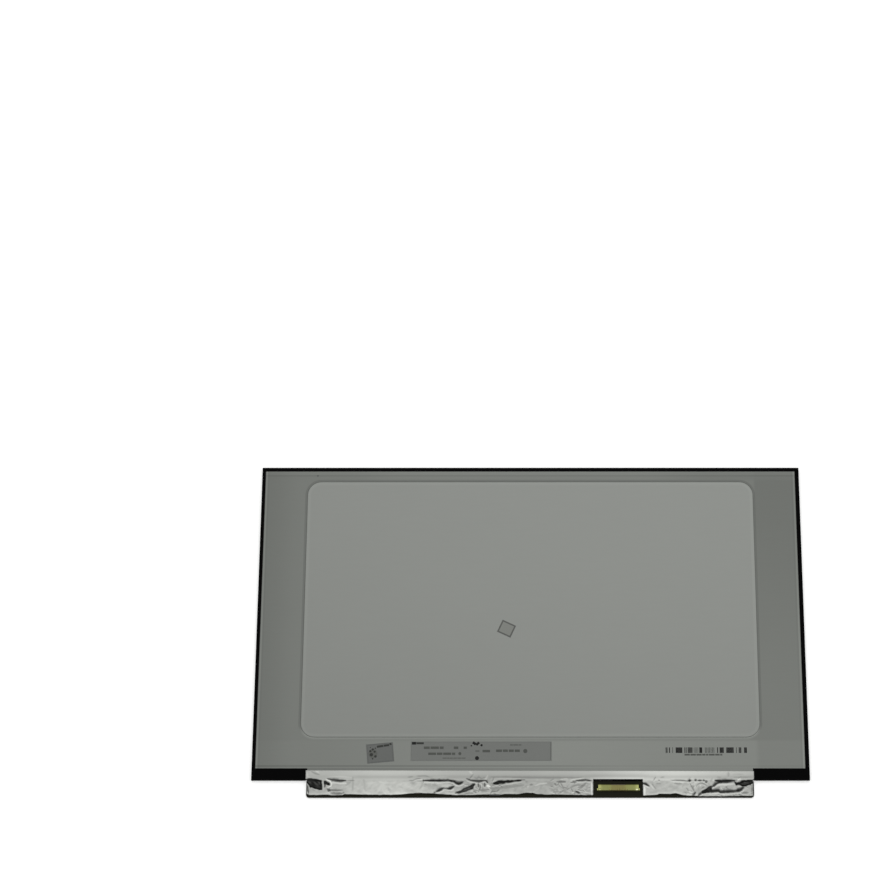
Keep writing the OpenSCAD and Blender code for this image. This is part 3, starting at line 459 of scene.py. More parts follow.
# Gold plated over nickel on stamped strip: warm and nearly mirror-bright
dress("receptacle_contacts", "Gold_plated_contacts", "#b8964a", 0.22, paint_contacts_and_tail_shade, metallic=1.0,
      grain_mm=0.3, relief_mm=0.002)
# Copper tracks under a dark mask on amber film: brown, with fine lines along the film
dress("signal_films", "Masked_polyimide_film", "#22180e", 0.3, ior=1.7, relief_mm=0.003, stretch=(1, 0.05, 1))
# The same film without its mask: clear amber
dress("lamp_tail", "Amber_polyimide_tail", "#b07428", 0.25, ior=1.7, relief_mm=0.003)
# Moulded nylon: ivory, half matt
dress("tail_socket", "Ivory_nylon", "#e2ddcc", 0.45, ior=1.53)
print("board, receptacle and films are dressed")

# %% Chips and small parts
# Sawn and polished silicon: a dark blue-grey mirror, because its IOR is very high
dress("driver_chips", "Bare_silicon", "#3a3c44", 0.12, ior=3.4, tone=0.04, relief_mm=0.001)
# Moulded epoxy full of ground quartz: dark grey, with a dry fine sparkle
for chip in ("timing_controller", "power_chips", "memory_chip"):
    dress(chip, "Black_epoxy_" + chip, "#1c1e21", 0.55, ior=1.55, grain_mm=0.15)
# Pressed and fired powder: dull grey, and its grains show
dress("inductors", "Ferrite", "#3a3b40", 0.6, ior=2.0, grain_mm=0.25, relief_mm=0.015)
# Fired ceramic: smooth brown with a waxy gloss
dress("capacitors", "Sintered_ceramic", "#57483a", 0.5, ior=1.9, grain_mm=0.2, relief_mm=0.005)
# Black glaze fired over the resistor: smooth, with a faint gloss
dress("resistors", "Glazed_resistor", "#141518", 0.5, specular=0.1, grain_mm=0.2, relief_mm=0.003)
print("chips and small parts are dressed")

# %% Plated brass shell
shell_middle = (shell_low[0] + shell_high[0]) / 2


def paint_shell(tree, place):
    """Olive plating with painted highlights, pale at both ends, brown over the middle third, and painted
    shade at its mouth and rear edge.
    """
    axes = add(tree, "SeparateXYZ", {0: place})
    y = axes.outputs["Y"]
    across = away_from(tree, axes.outputs["X"], shell_middle)
    colour = colour_change(tree, across, 3.0, 6.0, srgb("#67633e"), srgb("#6f7146"))
    colour = colour_change(tree, across, 9.5, 12.6, colour, srgb("#90935c"))
    # Painted shade at the mouth and along the rear edge
    mouth, rear = shell_low[1] + 0.5, shell_high[1] - 0.2
    return colour, [add(tree, "MapRange", {0: y, 1: mouth, 2: mouth + 0.3, 3: 0.12, 4: 1}, **SMOOTH),
                    add(tree, "MapRange", {0: y, 1: rear, 2: rear - 0.6, 3: 0.2, 4: 1}, **SMOOTH)]


# Stamped, then plated in a drum: a satin olive gold, streaked where sheets rubbed
dress("receptacle_shell", "Olive_plated_brass", "#6f7146", 0.34, paint_shell, grain_mm=0.5, tone=0.1,
      stretch=(1, 0.3, 1), metallic=1.0)
print("receptacle middle at X", round(shell_middle, 2))

# %% [markdown]
# ## Rear foil: the shape
#
# A strip of aluminium foil is stuck flat along the tray's lower edge and falls from there over the board,
# where fingers have pressed it round the parts. It is the most lively surface of the whole panel. CAD
# holds it as a coarse sheet. A cloth simulation would crumple it too, but never in the places where the
# real one is crumpled. So it is modelled again on a grid finer than the narrowest fold: one height over
# the grid, made of the fall from the tray, of a field of faceted wrinkles, and of folds.
#
# First come the tools: a closed sheet over any grid, seeded noise, and distances to a route or an outline.

# %% A closed sheet over a grid
FOIL_THICK = 0.06


def new_piece(name, mesh):
    """Puts a mesh into the scene as a piece that rides on the panel."""
    piece = bpy.data.objects.new(name, mesh)
    bpy.context.scene.collection.objects.link(piece)
    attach(piece, "root")
    return piece


def foil_sheet(name, node, x, y, top, tone):
    """A closed foil over one grid, in mm: top and under faces, and a rim round all four sides.

    Rows run down the panel and columns to the right, so each top face (r, c), (r + 1, c), (r + 1, c + 1),
    (r, c + 1) turns left and looks up; the under faces are the same ones turned round. tone, the painted
    light and shade, is kept on the mesh, for the finish to multiply its colour by. The sheet stands for a CAD
    node.
    """
    rows, columns = x.shape
    count = rows * columns
    points = np.concatenate([np.stack([x, y, z], -1).reshape(-1, 3) for z in (top, top - FOIL_THICK)]) * MM
    i = np.arange(count).reshape(rows, columns)
    upper = np.stack([i[:-1, :-1], i[1:, :-1], i[1:, 1:], i[:-1, 1:]], -1).reshape(-1, 4)
    rim = np.concatenate([i[:-1, 0], i[-1, :-1], i[:0:-1, -1], i[0, :0:-1]])
    after = np.roll(rim, -1)
    sides = np.stack([rim, rim + count, after + count, after], -1)
    faces = np.concatenate([upper, upper[:, ::-1] + count, sides])
    mesh = bpy.data.meshes.new(name)
    mesh.vertices.add(len(points))
    mesh.vertices.foreach_set("co", points.ravel())
    mesh.loops.add(faces.size)
    mesh.loops.foreach_set("vertex_index", faces.ravel())
    mesh.polygons.add(len(faces))
    mesh.polygons.foreach_set("loop_start", np.arange(0, faces.size, 4))
    mesh.polygons.foreach_set("use_smooth", np.arange(len(faces)) < 2 * len(upper))
    mesh.update(calc_edges=True)
    mesh.validate()
    layer = mesh.attributes.new("tone", "FLOAT", "POINT")
    layer.data.foreach_set("value", np.tile(tone.ravel(), 2))
    piece = new_piece(name, mesh)
    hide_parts(node)
    print(name, "-", len(mesh.polygons), "faces, top at", top.min().round(2), "to", top.max().round(2), "mm")
    return piece


print("foil thickness in mm:", FOIL_THICK)

# %% Soft steps and seeded noise
LATTICE = 512
MIDDLE_CELL = 200


def step(value, low, high):
    """0 below low, 1 above high, and t * t * (3 - 2 * t) between them."""
    t = np.clip((value - low) / (high - low), 0, 1)
    return t * t * (3 - 2 * t)


def noise_field(x, y, size, seed):
    """Smooth random heights in -1..1: seeded values on a lattice of that size in mm, blended softly."""
    table = np.random.default_rng(seed).uniform(-1, 1, (LATTICE, LATTICE))
    u, v = x / size + MIDDLE_CELL, y / size + MIDDLE_CELL
    i, j = (np.floor(w).astype(int) % (LATTICE - 1) for w in (u, v))
    f, g = (step(w - np.floor(w), 0, 1) for w in (u, v))
    near = table[i, j] * (1 - f) + table[i + 1, j] * f
    far = table[i, j + 1] * (1 - f) + table[i + 1, j + 1] * f
    return near * (1 - g) + far * g


print("noise at the panel's middle:", noise_field(np.zeros(1), np.zeros(1), 5.0, 1).round(3))


# %% Distances to a route and to an outline
def route_distance(x, y, route):
    """Distance in mm from every grid point to a route x, y, x, y ... and the share of it passed there."""
    route = np.reshape(route, (-1, 2))
    lengths = np.hypot(*np.diff(route, axis=0).T)
    run = np.concatenate([[0], np.cumsum(lengths)])
    distance, share = np.full(x.shape, np.inf), np.zeros(x.shape)
    for k, length in enumerate(lengths):
        (ax, ay), (bx, by) = route[k], route[k + 1]
        t = np.clip(((x - ax) * (bx - ax) + (y - ay) * (by - ay)) / length ** 2, 0, 1)
        gap = np.hypot(x - ax - t * (bx - ax), y - ay - t * (by - ay))
        nearer = gap < distance
        distance = np.where(nearer, gap, distance)
        share = np.where(nearer, (run[k] + t * length) / run[-1], share)
    return distance, share


def outline_depth(x, y, outline):
    """Distance in mm to a closed outline x, y, x, y ..., above 0 inside it.

    A point is inside where a ray to its right crosses the outline an odd number of times.
    """
    ring = np.reshape(outline + outline[:2], (-1, 2))
    crossings = np.zeros(x.shape, int)
    for (ax, ay), (bx, by) in zip(ring[:-1], ring[1:]):
        crossings += ((ay > y) != (by > y)) & (x < ax + (y - ay) * (bx - ax) / (by - ay + 1e-12))
    return np.where(crossings % 2 == 1, 1, -1) * route_distance(x, y, ring)[0]


square = [-1, -1, 1, -1, 1, 1, -1, 1]
print("the middle of a 2 mm square is", outline_depth(np.zeros(1), np.zeros(1), square), "mm deep")

# %% [markdown]
# ### Pockets and folds by name
#
# The large folds are what the eye knows the foil by, so each has its own row here instead of being left
# to chance. The foil gapes open in a few pockets that sink and get painted shade: a row says how dark that
# shade is inside, and then gives its outline as x, y, x, y and so on, in millimetres on the panel. A fold's
# row gives its half width and its shade, and then its route: above 0 it sinks and gets painted shade, down
# to black at 1, and below 0 it stands up and gets a painted highlight.

# %% The deep pockets
POCKETS = [
    (0.9, -141, -96.3, -137.3, -95.9, -134.1, -96.3, -130.9, -97.3, -130.6, -103.3, -132.6, -103.2,
     -135.4, -102.7, -137.1, -101.8, -138.1, -102.4, -139.4, -100.4, -140.8, -98.6),
    (0.88, -129.6, -97.6, -128, -98, -126.2, -99.1, -125.6, -100.4, -126.6, -100.6, -128.4, -99.9,
     -129, -101.8, -129.6, -100.5),
    (0.88, -24.8, -99.9, -22.6, -98.6, -20.1, -97.5, -13.7, -97.15, -5.7, -96.75, -3.4, -97, -8.9, -98.3,
     -15.3, -98.8, -20.1, -99.7, -22.7, -100.1),
    (0.88, 107, -104.4, 109.5, -102.8, 112.1, -101, 113.7, -100.7, 113.8, -102.1, 113.9, -103.9, 111, -105.4,
     107.8, -105.6),
    (0.9, 127.7, -97.8, 129.2, -98.6, 130.8, -98.3, 132.5, -97.6, 134.1, -97.1, 137, -96.8, 140.2, -96.5,
     139.4, -99.3, 136.8, -100.3, 134.7, -101.2, 132.9, -101.1, 131.4, -100.6, 130, -100.3, 128.9, -100.9,
     128.3, -100),
    (0.8, -47.2, -105.2, -43.8, -103.6, -41.4, -101.9, -39, -100.9, -37.1, -100.2, -36, -99.3, -35.4, -99.8,
     -35.6, -102, -38, -103.7, -41.8, -104.7, -44.7, -105.5),
]
print("deep pockets:", len(POCKETS))

# %% The folds
FOLDS = [
    # The left end, round its open pocket
    (0.52, -0.2, -140.3, -92.5, -139.9, -95.2, -138.6, -95.2),
    (0.42, 0.85, -139.8, -100.5, -139.6, -103.1, -139.1, -106),
    (0.52, 0.25, -137.7, -91.7, -135.1, -93, -132.6, -93.8), (0.52, -0.25, -134.9, -91.4, -132.8, -92.5),
    (0.32, -0.15, -130.1, -97.3, -129.9, -103.7),
    (0.6, -0.75, -128, -97, -125.7, -97.9, -124.9, -99.6, -125.3, -101.2, -127.1, -101.8),
    (0.58, 0.45, -127.5, -102.8, -125.9, -103.3, -123.7, -103.6, -121.1, -103.7, -117.9, -103.4),
    (0.85, 0.6, -127.2, -103.2, -125.6, -103.8),
    (0.9, 0.78, -127.2, -96.4, -124.6, -96.9, -119.7, -97.4, -115.9, -97.5),
    (0.39, -0.2, -126.8, -94.9, -119.7, -95.1, -112.3, -95.4), (0.9, 0.4, -125.2, -105.5, -118, -105.7),
    (0.45, 0.5, -117.9, -105.3, -116.6, -105.2), (0.5, 0.22, -115, -97.6, -110.5, -97.4),
    (0.71, 0.16, -111.5, -95.4, -111.4, -103.4), (1.03, 0.1, -104.6, -97, -103.8, -103.4),
    # The crumpled stretch over the chips
    (0.39, 0.25, -76.8, -95.4, -73.9, -94.9), (0.39, 0.25, -76.1, -97.5, -72.8, -97.5),
    (0.39, 0.35, -73.3, -96.9, -71, -96.3, -68.8, -96.2),
    (0.45, 0.25, -71.4, -94.6, -65.6, -94.5, -63.4, -95.3), (0.45, -0.35, -71, -97.3, -67.8, -97),
    (0.39, 0.5, -67.3, -98.8, -67.3, -96.8),
    (0.75, 0.93, -67.3, -97.4, -62.7, -97.35, -56.6, -97.3, -51.2, -97.2, -47.4, -97.9),
    (1.6, 0.12, -66, -100.3, -58.5, -100.8), (0.39, -0.2, -61.4, -95.4, -52.2, -95.2),
    (0.6, 0.7, -60.8, -105.4, -59.6, -104.9), (0.8, 0.9, -59.2, -104.4, -56.2, -102.9, -54.4, -102.2),
    (0.65, -0.3, -56, -99, -52.8, -98.4, -49.6, -98.9), (1.2, -0.2, -55.5, -101, -49, -100.7),
    (0.4, 0.6, -55.5, -102.3, -51, -102.5), (0.75, 0.9, -52, -102.6, -50.2, -102.3, -48.1, -101.2),
    (0.61, 0.85, -50.5, -97.7, -47.8, -97.7),
    (0.78, 0.92, -48.6, -97.8, -46.4, -99, -44.8, -99.4, -42.3, -98.3),
    (0.5, 0.7, -47.4, -105.5, -45.5, -104.7), (0.8, -0.2, -42.5, -99.9, -38, -101.3),
    (0.68, 0.75, -40.1, -96.3, -37.7, -97.2, -35.5, -97.5, -32.6, -97.9, -28.1, -97.3),
    (0.84, -0.25, -38.4, -91.8, -36.8, -93.1), (0.45, -0.4, -38, -104.5, -35.4, -103.2),
    (0.7, 0.8, -36.2, -100.9, -35, -99.4),
    (0.52, 0.25, -35.8, -103.7, -28.1, -103.1, -21.7, -102.4, -18.2, -101.8),
    (0.39, 0.25, -35.2, -95.4, -33.9, -96.3, -32.6, -95.2, -30.7, -96.3, -28.5, -95.4),
    (0.6, 0.6, -32.8, -99.2, -32.6, -101.6), (0.5, -0.45, -30.8, -99.4, -30.9, -101.4),
    (0.45, -0.3, -30, -105.3, -21.7, -105.3), (0.55, 0.65, -28.8, -99.2, -28.7, -101.3),
    (0.55, 0.75, -28.1, -97.3, -26.7, -99.1), (0.95, -1.5, -27.4, -101, -25.7, -101),
    (0.39, 0.4, -24.4, -104.3, -21.2, -104.2),
    (0.7, 0.2, -24.4, -95.2, -3.5, -95.5, 13.8, -95.7, 24, -95.7, 32, -95.5),
    (0.45, -0.35, -23.9, -101.3, -20.1, -100.5, -12.1, -99.6, -5.4, -98.4),
    # From the tallest chip to the notch
    (0.95, 0.2, -21.5, -102.7, -12.2, -101.4, -4.6, -100.4), (0.39, -0.2, -21.4, -96.1, -6.4, -96.1),
    (0.58, -0.4, -1.9, -101.5, -1.2, -101.3), (0.52, 0.3, -0.4, -100.2, 1.3, -100),
    (0.48, -0.45, 2.9, -100.7, 5.2, -99.9, 10.3, -99), (0.52, 0.45, 16.5, -98.3, 22.1, -98.3),
    (0.39, -0.35, 18.9, -96.8, 23.1, -96.3),
    (0.65, 0.25, 24.6, -102.3, 26.9, -100.9, 30.4, -100.5, 33.6, -100.9),
    (0.45, 0.5, 25, -98.5, 28.8, -98.4), (0.45, -0.4, 25.3, -97.2, 33.6, -96),
    (0.65, -0.6, 25.9, -105.3, 27.2, -105.2), (0.58, 0.75, 28.2, -104.3, 31, -105.4),
    (0.65, 0.78, 28.5, -97.5, 34.6, -97, 38.2, -97.6), (0.52, -0.35, 28.5, -103.5, 32, -104.4, 38, -105.6),
    (0.52, 0.3, 37, -101.8, 37.3, -102.8), (0.8, -0.13, 38, -96, 71, -96),
    (0.45, -0.8, 38.2, -98.1, 38.4, -106.9),
    # Right of the notch
    (0.61, 0.9, 70, -99, 71.9, -99.4, 74.3, -100.9), (0.58, -0.65, 71.5, -100.8, 71.5, -106.9),
    (0.39, -0.3, 74.8, -99.6, 77.4, -102.9), (0.42, 0.3, 76.2, -99.5, 78.7, -102.9),
    (0.39, 0.4, 77.2, -97.5, 78.5, -95.2), (0.42, 0.28, 78.6, -99.5, 81.8, -99.4),
    (0.45, 0.45, 80.2, -97.3, 81, -97.3), (0.39, 0.25, 81.5, -95.5, 83.9, -95.2),
    (0.42, 0.55, 87.9, -97.2, 94.3, -97.3, 98.8, -97.8), (0.39, -0.4, 89.2, -98.4, 95.9, -98.9),
    (0.39, 0.28, 90.1, -99.4, 93, -99.8),
    # The right end, round its open pocket
    (0.8, 0.85, 99.1, -97.3, 100.4, -97.3), (0.52, 0.35, 99.4, -98.6, 101.3, -101.8, 102.6, -104.7),
    (0.8, 0.85, 101.2, -107.4, 103.4, -104.9), (0.45, 0.3, 101.8, -101.2, 102.4, -104.5),
    (0.65, -0.3, 102.5, -99.9, 103.5, -99.9), (0.68, 0.78, 102.9, -97.2, 104.2, -97.1),
    (0.42, 0.33, 103.8, -101.2, 104.8, -99.9, 106.7, -98.9, 108.9, -99.6, 110.6, -100.7),
    (0.52, 0.75, 104.9, -97.4, 107.4, -97.3), (0.75, 0.85, 104.9, -107, 107.7, -104.5),
    (0.39, 0.25, 105.3, -101.8, 105.3, -105), (0.58, -0.35, 106, -100.9, 107, -100.7),
    (0.45, -0.35, 107.5, -106, 119, -105.5, 127.3, -105.7), (0.58, 0.75, 108.1, -97.3, 109.2, -97.3),
    (0.65, 0.5, 109.6, -98.3, 110.9, -98.1), (0.58, 0.5, 109.6, -98.3, 110.7, -98.1),
    (0.9, 0.9, 112, -104.3, 118.2, -103.4),
    (0.82, 0.9, 113.3, -104.3, 117.5, -103.7, 119, -104.5, 122.9, -104.3, 127.4, -104.1, 130.6, -103.8),
    (0.85, 0.85, 113.8, -101.3, 116, -99.6, 117.9, -98.4, 120.2, -97.9),
    (0.65, 0.8, 115.5, -99.4, 116.4, -99.4),
    (1.15, 0.93, 116, -97.5, 119.8, -97.8, 123, -97.6, 127.8, -97.5),
    (0.32, 0.2, 116.7, -95.4, 119.6, -95.4), (0.8, 0.2, 124.3, -92.2, 124.2, -94.7),
    (0.26, 0.15, 126.7, -93.5, 134, -93.5), (0.32, 0.22, 126.9, -95.4, 138.5, -95.3),
    (0.95, 0.93, 128.6, -103.9, 131, -103.4, 133.6, -101.8), (0.65, -0.5, 129.8, -96.7, 131.7, -96.7),
    (0.42, -0.4, 129.8, -101.5, 132.5, -101.3), (0.65, 0.35, 131.5, -105.2, 136.4, -105.2),
    (0.32, 0.5, 138.8, -100.5, 138.6, -106.9),
]
print("folds with a place of their own:", len(FOLDS))

# %% The foil's lower edge
# As (x, y): it creeps back from the board's edge where a part lifts it
EDGE_LEFT = [
    (-140.3, -105.6), (-138.6, -106.5), (-134.8, -106.7), (-126.5, -106.3), (-124.5, -106.7),
    (-117.8, -106.7), (-116.6, -106.05), (-109.2, -106.15), (-94.3, -106.5), (-84.6, -106.4),
    (-78.2, -105.9), (-73.4, -105.5), (-69.9, -105.2), (-68, -105.4), (-65.5, -105.6), (-60.7, -105.6),
    (-57.5, -106.1), (-47.3, -106.6), (-34.5, -106.5), (-28.1, -106.4), (-18.5, -106.3), (-13.7, -105.9),
    (-8.9, -106.2), (-5.7, -105.7), (-3.2, -105.3), (1.3, -105.2), (3.2, -105.9), (9.3, -106.3),
    (25.3, -106.55), (38.7, -106.7)]
EDGE_RIGHT = [
    (70.6, -106.9), (75, -106.7), (79.1, -106.4), (80.7, -105.8), (84.6, -105.8), (87.8, -105.9),
    (91, -105.5), (93.5, -106.1), (95.7, -106.8), (103.7, -107.2), (109.4, -107.4), (119, -107.4),
    (128.5, -107.3), (138.6, -107.1)]
print("lower edge from", EDGE_LEFT[0], "to", EDGE_RIGHT[-1])

# %% [markdown]
# ### Wrinkles, tones and heights
#
# Crumpled foil is made of small flat facets between sharp folds. Plain noise is too round for that. A
# ridge of noise has the look: take 1 - |noise|, which is smooth except for a sharp crest where the noise
# crosses zero, and add two sizes of it. Besides the folds above there are 270 little ones, seeded, and
# closer together over the chips, where the foil was pressed most.
#
# The foil may sink only as far as the parts under it allow. Their top faces are read from the CAD model as
# rectangles, and the foil stays a hair above each, with a slope round it, as foil does that a thumb has
# pressed down.

# %% Columns of the grid
COLUMN_PITCH, ROW_PITCH = 0.4, 0.33
NOTCH_LEFT, NOTCH_RIGHT, NOTCH_LOW = 39.3, 70.4, -96.56
NOTCH_COLUMNS = 60
EDGE_WANDER = 0.12


def foil_columns():
    """X of every column, with a pair 0.05 mm apart at each side of the notch, and the lower edge there."""
    left = np.linspace(foil_low[0], NOTCH_LEFT - 0.05, int((NOTCH_LEFT - foil_low[0]) / COLUMN_PITCH))
    middle = np.linspace(NOTCH_LEFT, NOTCH_RIGHT, NOTCH_COLUMNS)
    right = np.linspace(NOTCH_RIGHT + 0.05, foil_high[0], int((foil_high[0] - NOTCH_RIGHT) / COLUMN_PITCH))
    sides = np.concatenate([left, right])
    wander = EDGE_WANDER * noise_field(sides, np.zeros(len(sides)), 2.3, 5)
    lows = np.concatenate([
        np.interp(left, *np.array(EDGE_LEFT).T) + wander[:len(left)],
        np.full(len(middle), NOTCH_LOW),
        np.interp(right, *np.array(EDGE_RIGHT).T) + wander[len(left):]])
    return np.concatenate([left, middle, right]), lows


columns, lows = foil_columns()
print("columns:", len(columns))


# %% Wrinkles and little folds
def wrinkles(x, y, seed):
    """Faceted wrinkles in -1..1: ridges 1 - |noise| of two sizes on a gently warped grid."""
    wx = x + 1.2 * noise_field(x, y, 5.0, seed)
    wy = y + 1.2 * noise_field(x, y, 5.0, seed + 1)
    coarse = 1 - 2 * np.abs(noise_field(wx, 1.5 * wy, 9.0, seed + 2))
    fine = 1 - 2 * np.abs(noise_field(wx, 1.3 * wy, 3.2, seed + 3))
    return 0.62 * coarse + 0.38 * fine


def little_folds(count, seed, left, right, width, strength):
    """Short seeded folds from left to right. Strength 1 is as deep as the foil is pressed over the chips."""
    rng = np.random.default_rng(seed)
    x, y = rng.uniform(left, right, count), rng.uniform(-106.3, -97.6, count)
    angle, length = rng.uniform(-1.2, 1.2, count), rng.uniform(1.2, 5.5, count)
    shades = strength * rng.choice([-1, 1, 1], count) * rng.uniform(0.08, 0.4, count)
    widths = width * rng.uniform(0.26, 0.5, count)
    ends = x + length * np.cos(angle), y + length * np.sin(angle)
    return np.stack([widths, shades, x, y, *ends], -1).tolist()


LITTLE_FOLDS = (little_folds(110, 17, -139, 139, 1.8, 0.35) + little_folds(65, 18, -42, -18, 1.0, 1.1)
                + little_folds(50, 19, 95, 139, 1.0, 1.0) + little_folds(45, 20, 10, 38, 1.0, 1.0))
print("little folds:", len(LITTLE_FOLDS))

# %% The parts below
BEND_Y = -97.175
TAPE_TOP, BAND_TOP, DRAPE_TOP = 2.78, 2.84, 2.76
BOARD_TOP, HAIR = 1.6, 0.03
PRESSED_SLOPE = 2
HARD_PARTS = ("circuit_board", "timing_controller", "power_chips", "memory_chip", "inductors", "capacitors",
              "resistors", "tail_socket", "lamp_tail", "mould_frame")


def parts_below(x, y):
    """Height in mm that the foil's underside must clear: each top face, and a slope of 2 to 1 round it.

    A top face is a flat triangle above the board and under 20 mm wide, taken as the rectangle round it.
    """
    floor = np.full(x.shape, BOARD_TOP)
    for node in HARD_PARTS:
        mesh = nodes[node].data
        spots = np.empty(3 * len(mesh.vertices))
        mesh.vertices.foreach_get("co", spots)
        mesh.calc_loop_triangles()
        corners = np.empty(3 * len(mesh.loop_triangles), int)
        mesh.loop_triangles.foreach_get("vertices", corners)
        faces = spots.reshape(-1, 3)[corners.reshape(-1, 3)] / MM
        low, high = faces.min(axis=1), faces.max(axis=1)
        width, _, rise = (high - low).T
        flat = (rise < 1e-3) & (high[:, 2] > BOARD_TOP + 0.1) & (width < 20)
        for a, b in np.unique(np.concatenate([low[flat], high[flat]], 1).round(3).reshape(-1, 2, 3), axis=0):
            beside = np.maximum(np.maximum(a[0] - x, x - b[0]), 0)
            below = np.maximum(np.maximum(a[1] - y, y - b[1]), 0)
            floor = np.maximum(floor, b[2] - PRESSED_SLOPE * np.hypot(beside, below))
    on_tape = TAPE_TOP - PRESSED_SLOPE * np.maximum(BEND_Y - y, 0)
    return np.maximum(floor + HAIR, on_tape)


print("kinds of parts under the foil:", len(HARD_PARTS))


# %% Light along the foil
def sheen(x, y, fall):
    """Painted light along the foil, for how well it faces the lamps: two broad bright hills, and a dull
    valley on the glued band.

    A hill is height * exp(-((x - middle) / width) ** 2), lower where the foil hangs free.
    """
    left, right = np.exp(-((x + 90) / 35) ** 2), np.exp(-((x - 88) / 42) ** 2)
    over_notch = step(x, 30, 42) * step(x, 80, 68)
    valley = (0.08 + 0.12 * step(x, -118, -105)) * np.exp(-((y + 95.2 - 0.6 * over_notch) / 1.3) ** 2)
    glued = 0.95 + 0.25 * left + 0.5 * right
    hanging = 0.87 + 0.33 * left + 0.22 * right
    return (glued + (hanging - glued) * fall) * (1 - valley)


print("sheen at both ends and the middle:", sheen(np.array([-140.0, 0, 140]), -102.0, 1).round(2))


# %% Folds and pockets pressed in
def press_folds(x, y, height, shade):
    """Height and shade of the foil after every fold.

    At distance d a fold of half width w has the weight exp(-(d / w) ** 2), and it tapers to its ends. A dark
    one sinks by 0.55 * w * shade and gets painted shade, with a raised lip just below it that gets a painted
    highlight, and a bright one rises by 0.22 mm times its shade and gets a painted highlight. Where two meet,
    the stronger shade stays.
    """
    ragged = 1 + 0.3 * noise_field(x, y, 1.3, 7)
    for width, dark, *route in FOLDS + LITTLE_FOLDS:
        # As (how far lower, share of the shade, share of the width): the fold itself, and then its lip
        strokes = [(0.0, 1.0, 1.0)]
        if dark > 0.3:
            strokes.append((1.8 * width + 0.2, -0.4, 1.2))
        for lower, part, wide in strokes:
            distance, share = route_distance(x, y + lower, route)
            taper = np.clip(np.sin(np.pi * np.clip(share, 0.04, 0.96)) ** 0.4, 0.35, 1)
            weight = np.exp(-(distance / (wide * width * taper * ragged)) ** 2)
            height = height - (0.55 * width * dark * part if dark > 0 else 0.22 * dark) * taper * weight
            value = dark * part * weight
            shade = np.where(np.abs(value) > np.abs(shade), value, shade)
    return height, shade


def open_pockets(x, y, height, shade):
    """Height and shade of the foil after every pocket: 0.75 mm deep, with painted shade, darkest at its rim
    and mottled inside.
    """
    for dark, *outline in POCKETS:
        depth = outline_depth(x, y, outline) + 0.3 * noise_field(x, y, 1.3, 91)
        inside = step(depth, -0.2, 0.35)
        pocket_shade = dark - 0.2 * step(depth, 0.5, 1.5) * (0.5 + 0.7 * noise_field(x + y, 1.4 * y, 1.5, 92))
        height = height - 0.75 * step(depth, -0.2, 1.2)
        shade = shade * (1 - inside) + pocket_shade * inside
    return height, shade


print("folds to press:", len(FOLDS + LITTLE_FOLDS), "and pockets:", len(POCKETS))

# %% The rear foil
LOWEST, HIGHEST = 1.81, 2.97


def foil_form(x, y, lows):
    """Top of the foil in mm, and the factor for its colour, 1 where it is plain.

    It falls from BAND_TOP on the tray to DRAPE_TOP within 1.6 mm below the bend. Wrinkles ride on it, then
    folds and pockets, and a painted highlight runs along its lower edge. Its shade is painted light and
    shade, patches on the facets too, and a shade s gives the factor (1 - s) ** 1.4, or 1 - 1.1 * s below 0;
    the painted light along the foil multiplies that.
    """
    fall = step(BEND_Y + 0.3 - y, 0, 1.6)
    lively = 0.4 + 0.6 * step(noise_field(x, 0 * y, 16, 31) + 0.5 * step(x, 95, 115), -0.3, 0.5)
    lively = lively * (1 - 0.55 * np.exp(-((x + 92) / 19) ** 2))
    height = BAND_TOP + (DRAPE_TOP - BAND_TOP) * fall + 0.1 * fall * lively * wrinkles(x, y, 40)
    height = height + 0.012 * (1 - fall) * wrinkles(x, y, 60)
    # Patches of painted light and shade on the facets
    shade = 0.16 * fall * lively * noise_field(x + 0.6 * y, 1.4 * y, 3.4, 71)
    shade = shade + 0.08 * fall * noise_field(x - 0.5 * y, 1.2 * y, 1.5, 72)
    height, shade = open_pockets(x, y, *press_folds(x, y, height, shade))
    # A painted highlight along the lower edge
    shade = shade - (0.12 + 0.12 * noise_field(x, 0 * y, 6, 33)) * step(y - lows, 1.8, 0.9) * (y < BEND_Y)
    tone = np.where(shade > 0, (1 - np.clip(shade, 0, 0.98)) ** 1.4, 1 - 1.1 * shade)
    height = np.maximum(height, parts_below(x, y) + FOIL_THICK)
    return np.clip(height, LOWEST, HIGHEST), tone * sheen(x, y, fall)


# Its top edge is cut a little askew, and its two ends reach over the tape
tops = foil_high[1] - 0.5 * np.clip((columns + 100) / 240, 0, 1)
bends = np.maximum(BEND_Y, lows + 0.3)
band_share = np.linspace(0, 1, int((foil_high[1] - BEND_Y) / ROW_PITCH))[:-1, None]
fall_share = np.linspace(0, 1, int((BEND_Y - lows.min()) / ROW_PITCH))[:, None]
grid_y = np.concatenate([tops + (bends - tops) * band_share, bends + (lows - bends) * fall_share])
on_band = step(grid_y, -97.1, -96.4)
grid_x = (columns - 0.95 * on_band * step(columns, -137, -140.3)
          + (0.9 * on_band - 0.3) * step(columns, 137, 139.7))
rear_foil = foil_sheet("Crumpled_rear_foil", "rear_foil", grid_x, grid_y, *foil_form(grid_x, grid_y, lows))

# %% [markdown]
# ## Front foil
#
# The same foil comes round on the front of the board. There it lies flat on the laminate and is only
# lightly creased. Folds one by one would be lost on it, so it gets the same faceted wrinkles, lower, and
# painted shade in the creases between them, darkest near its left end.

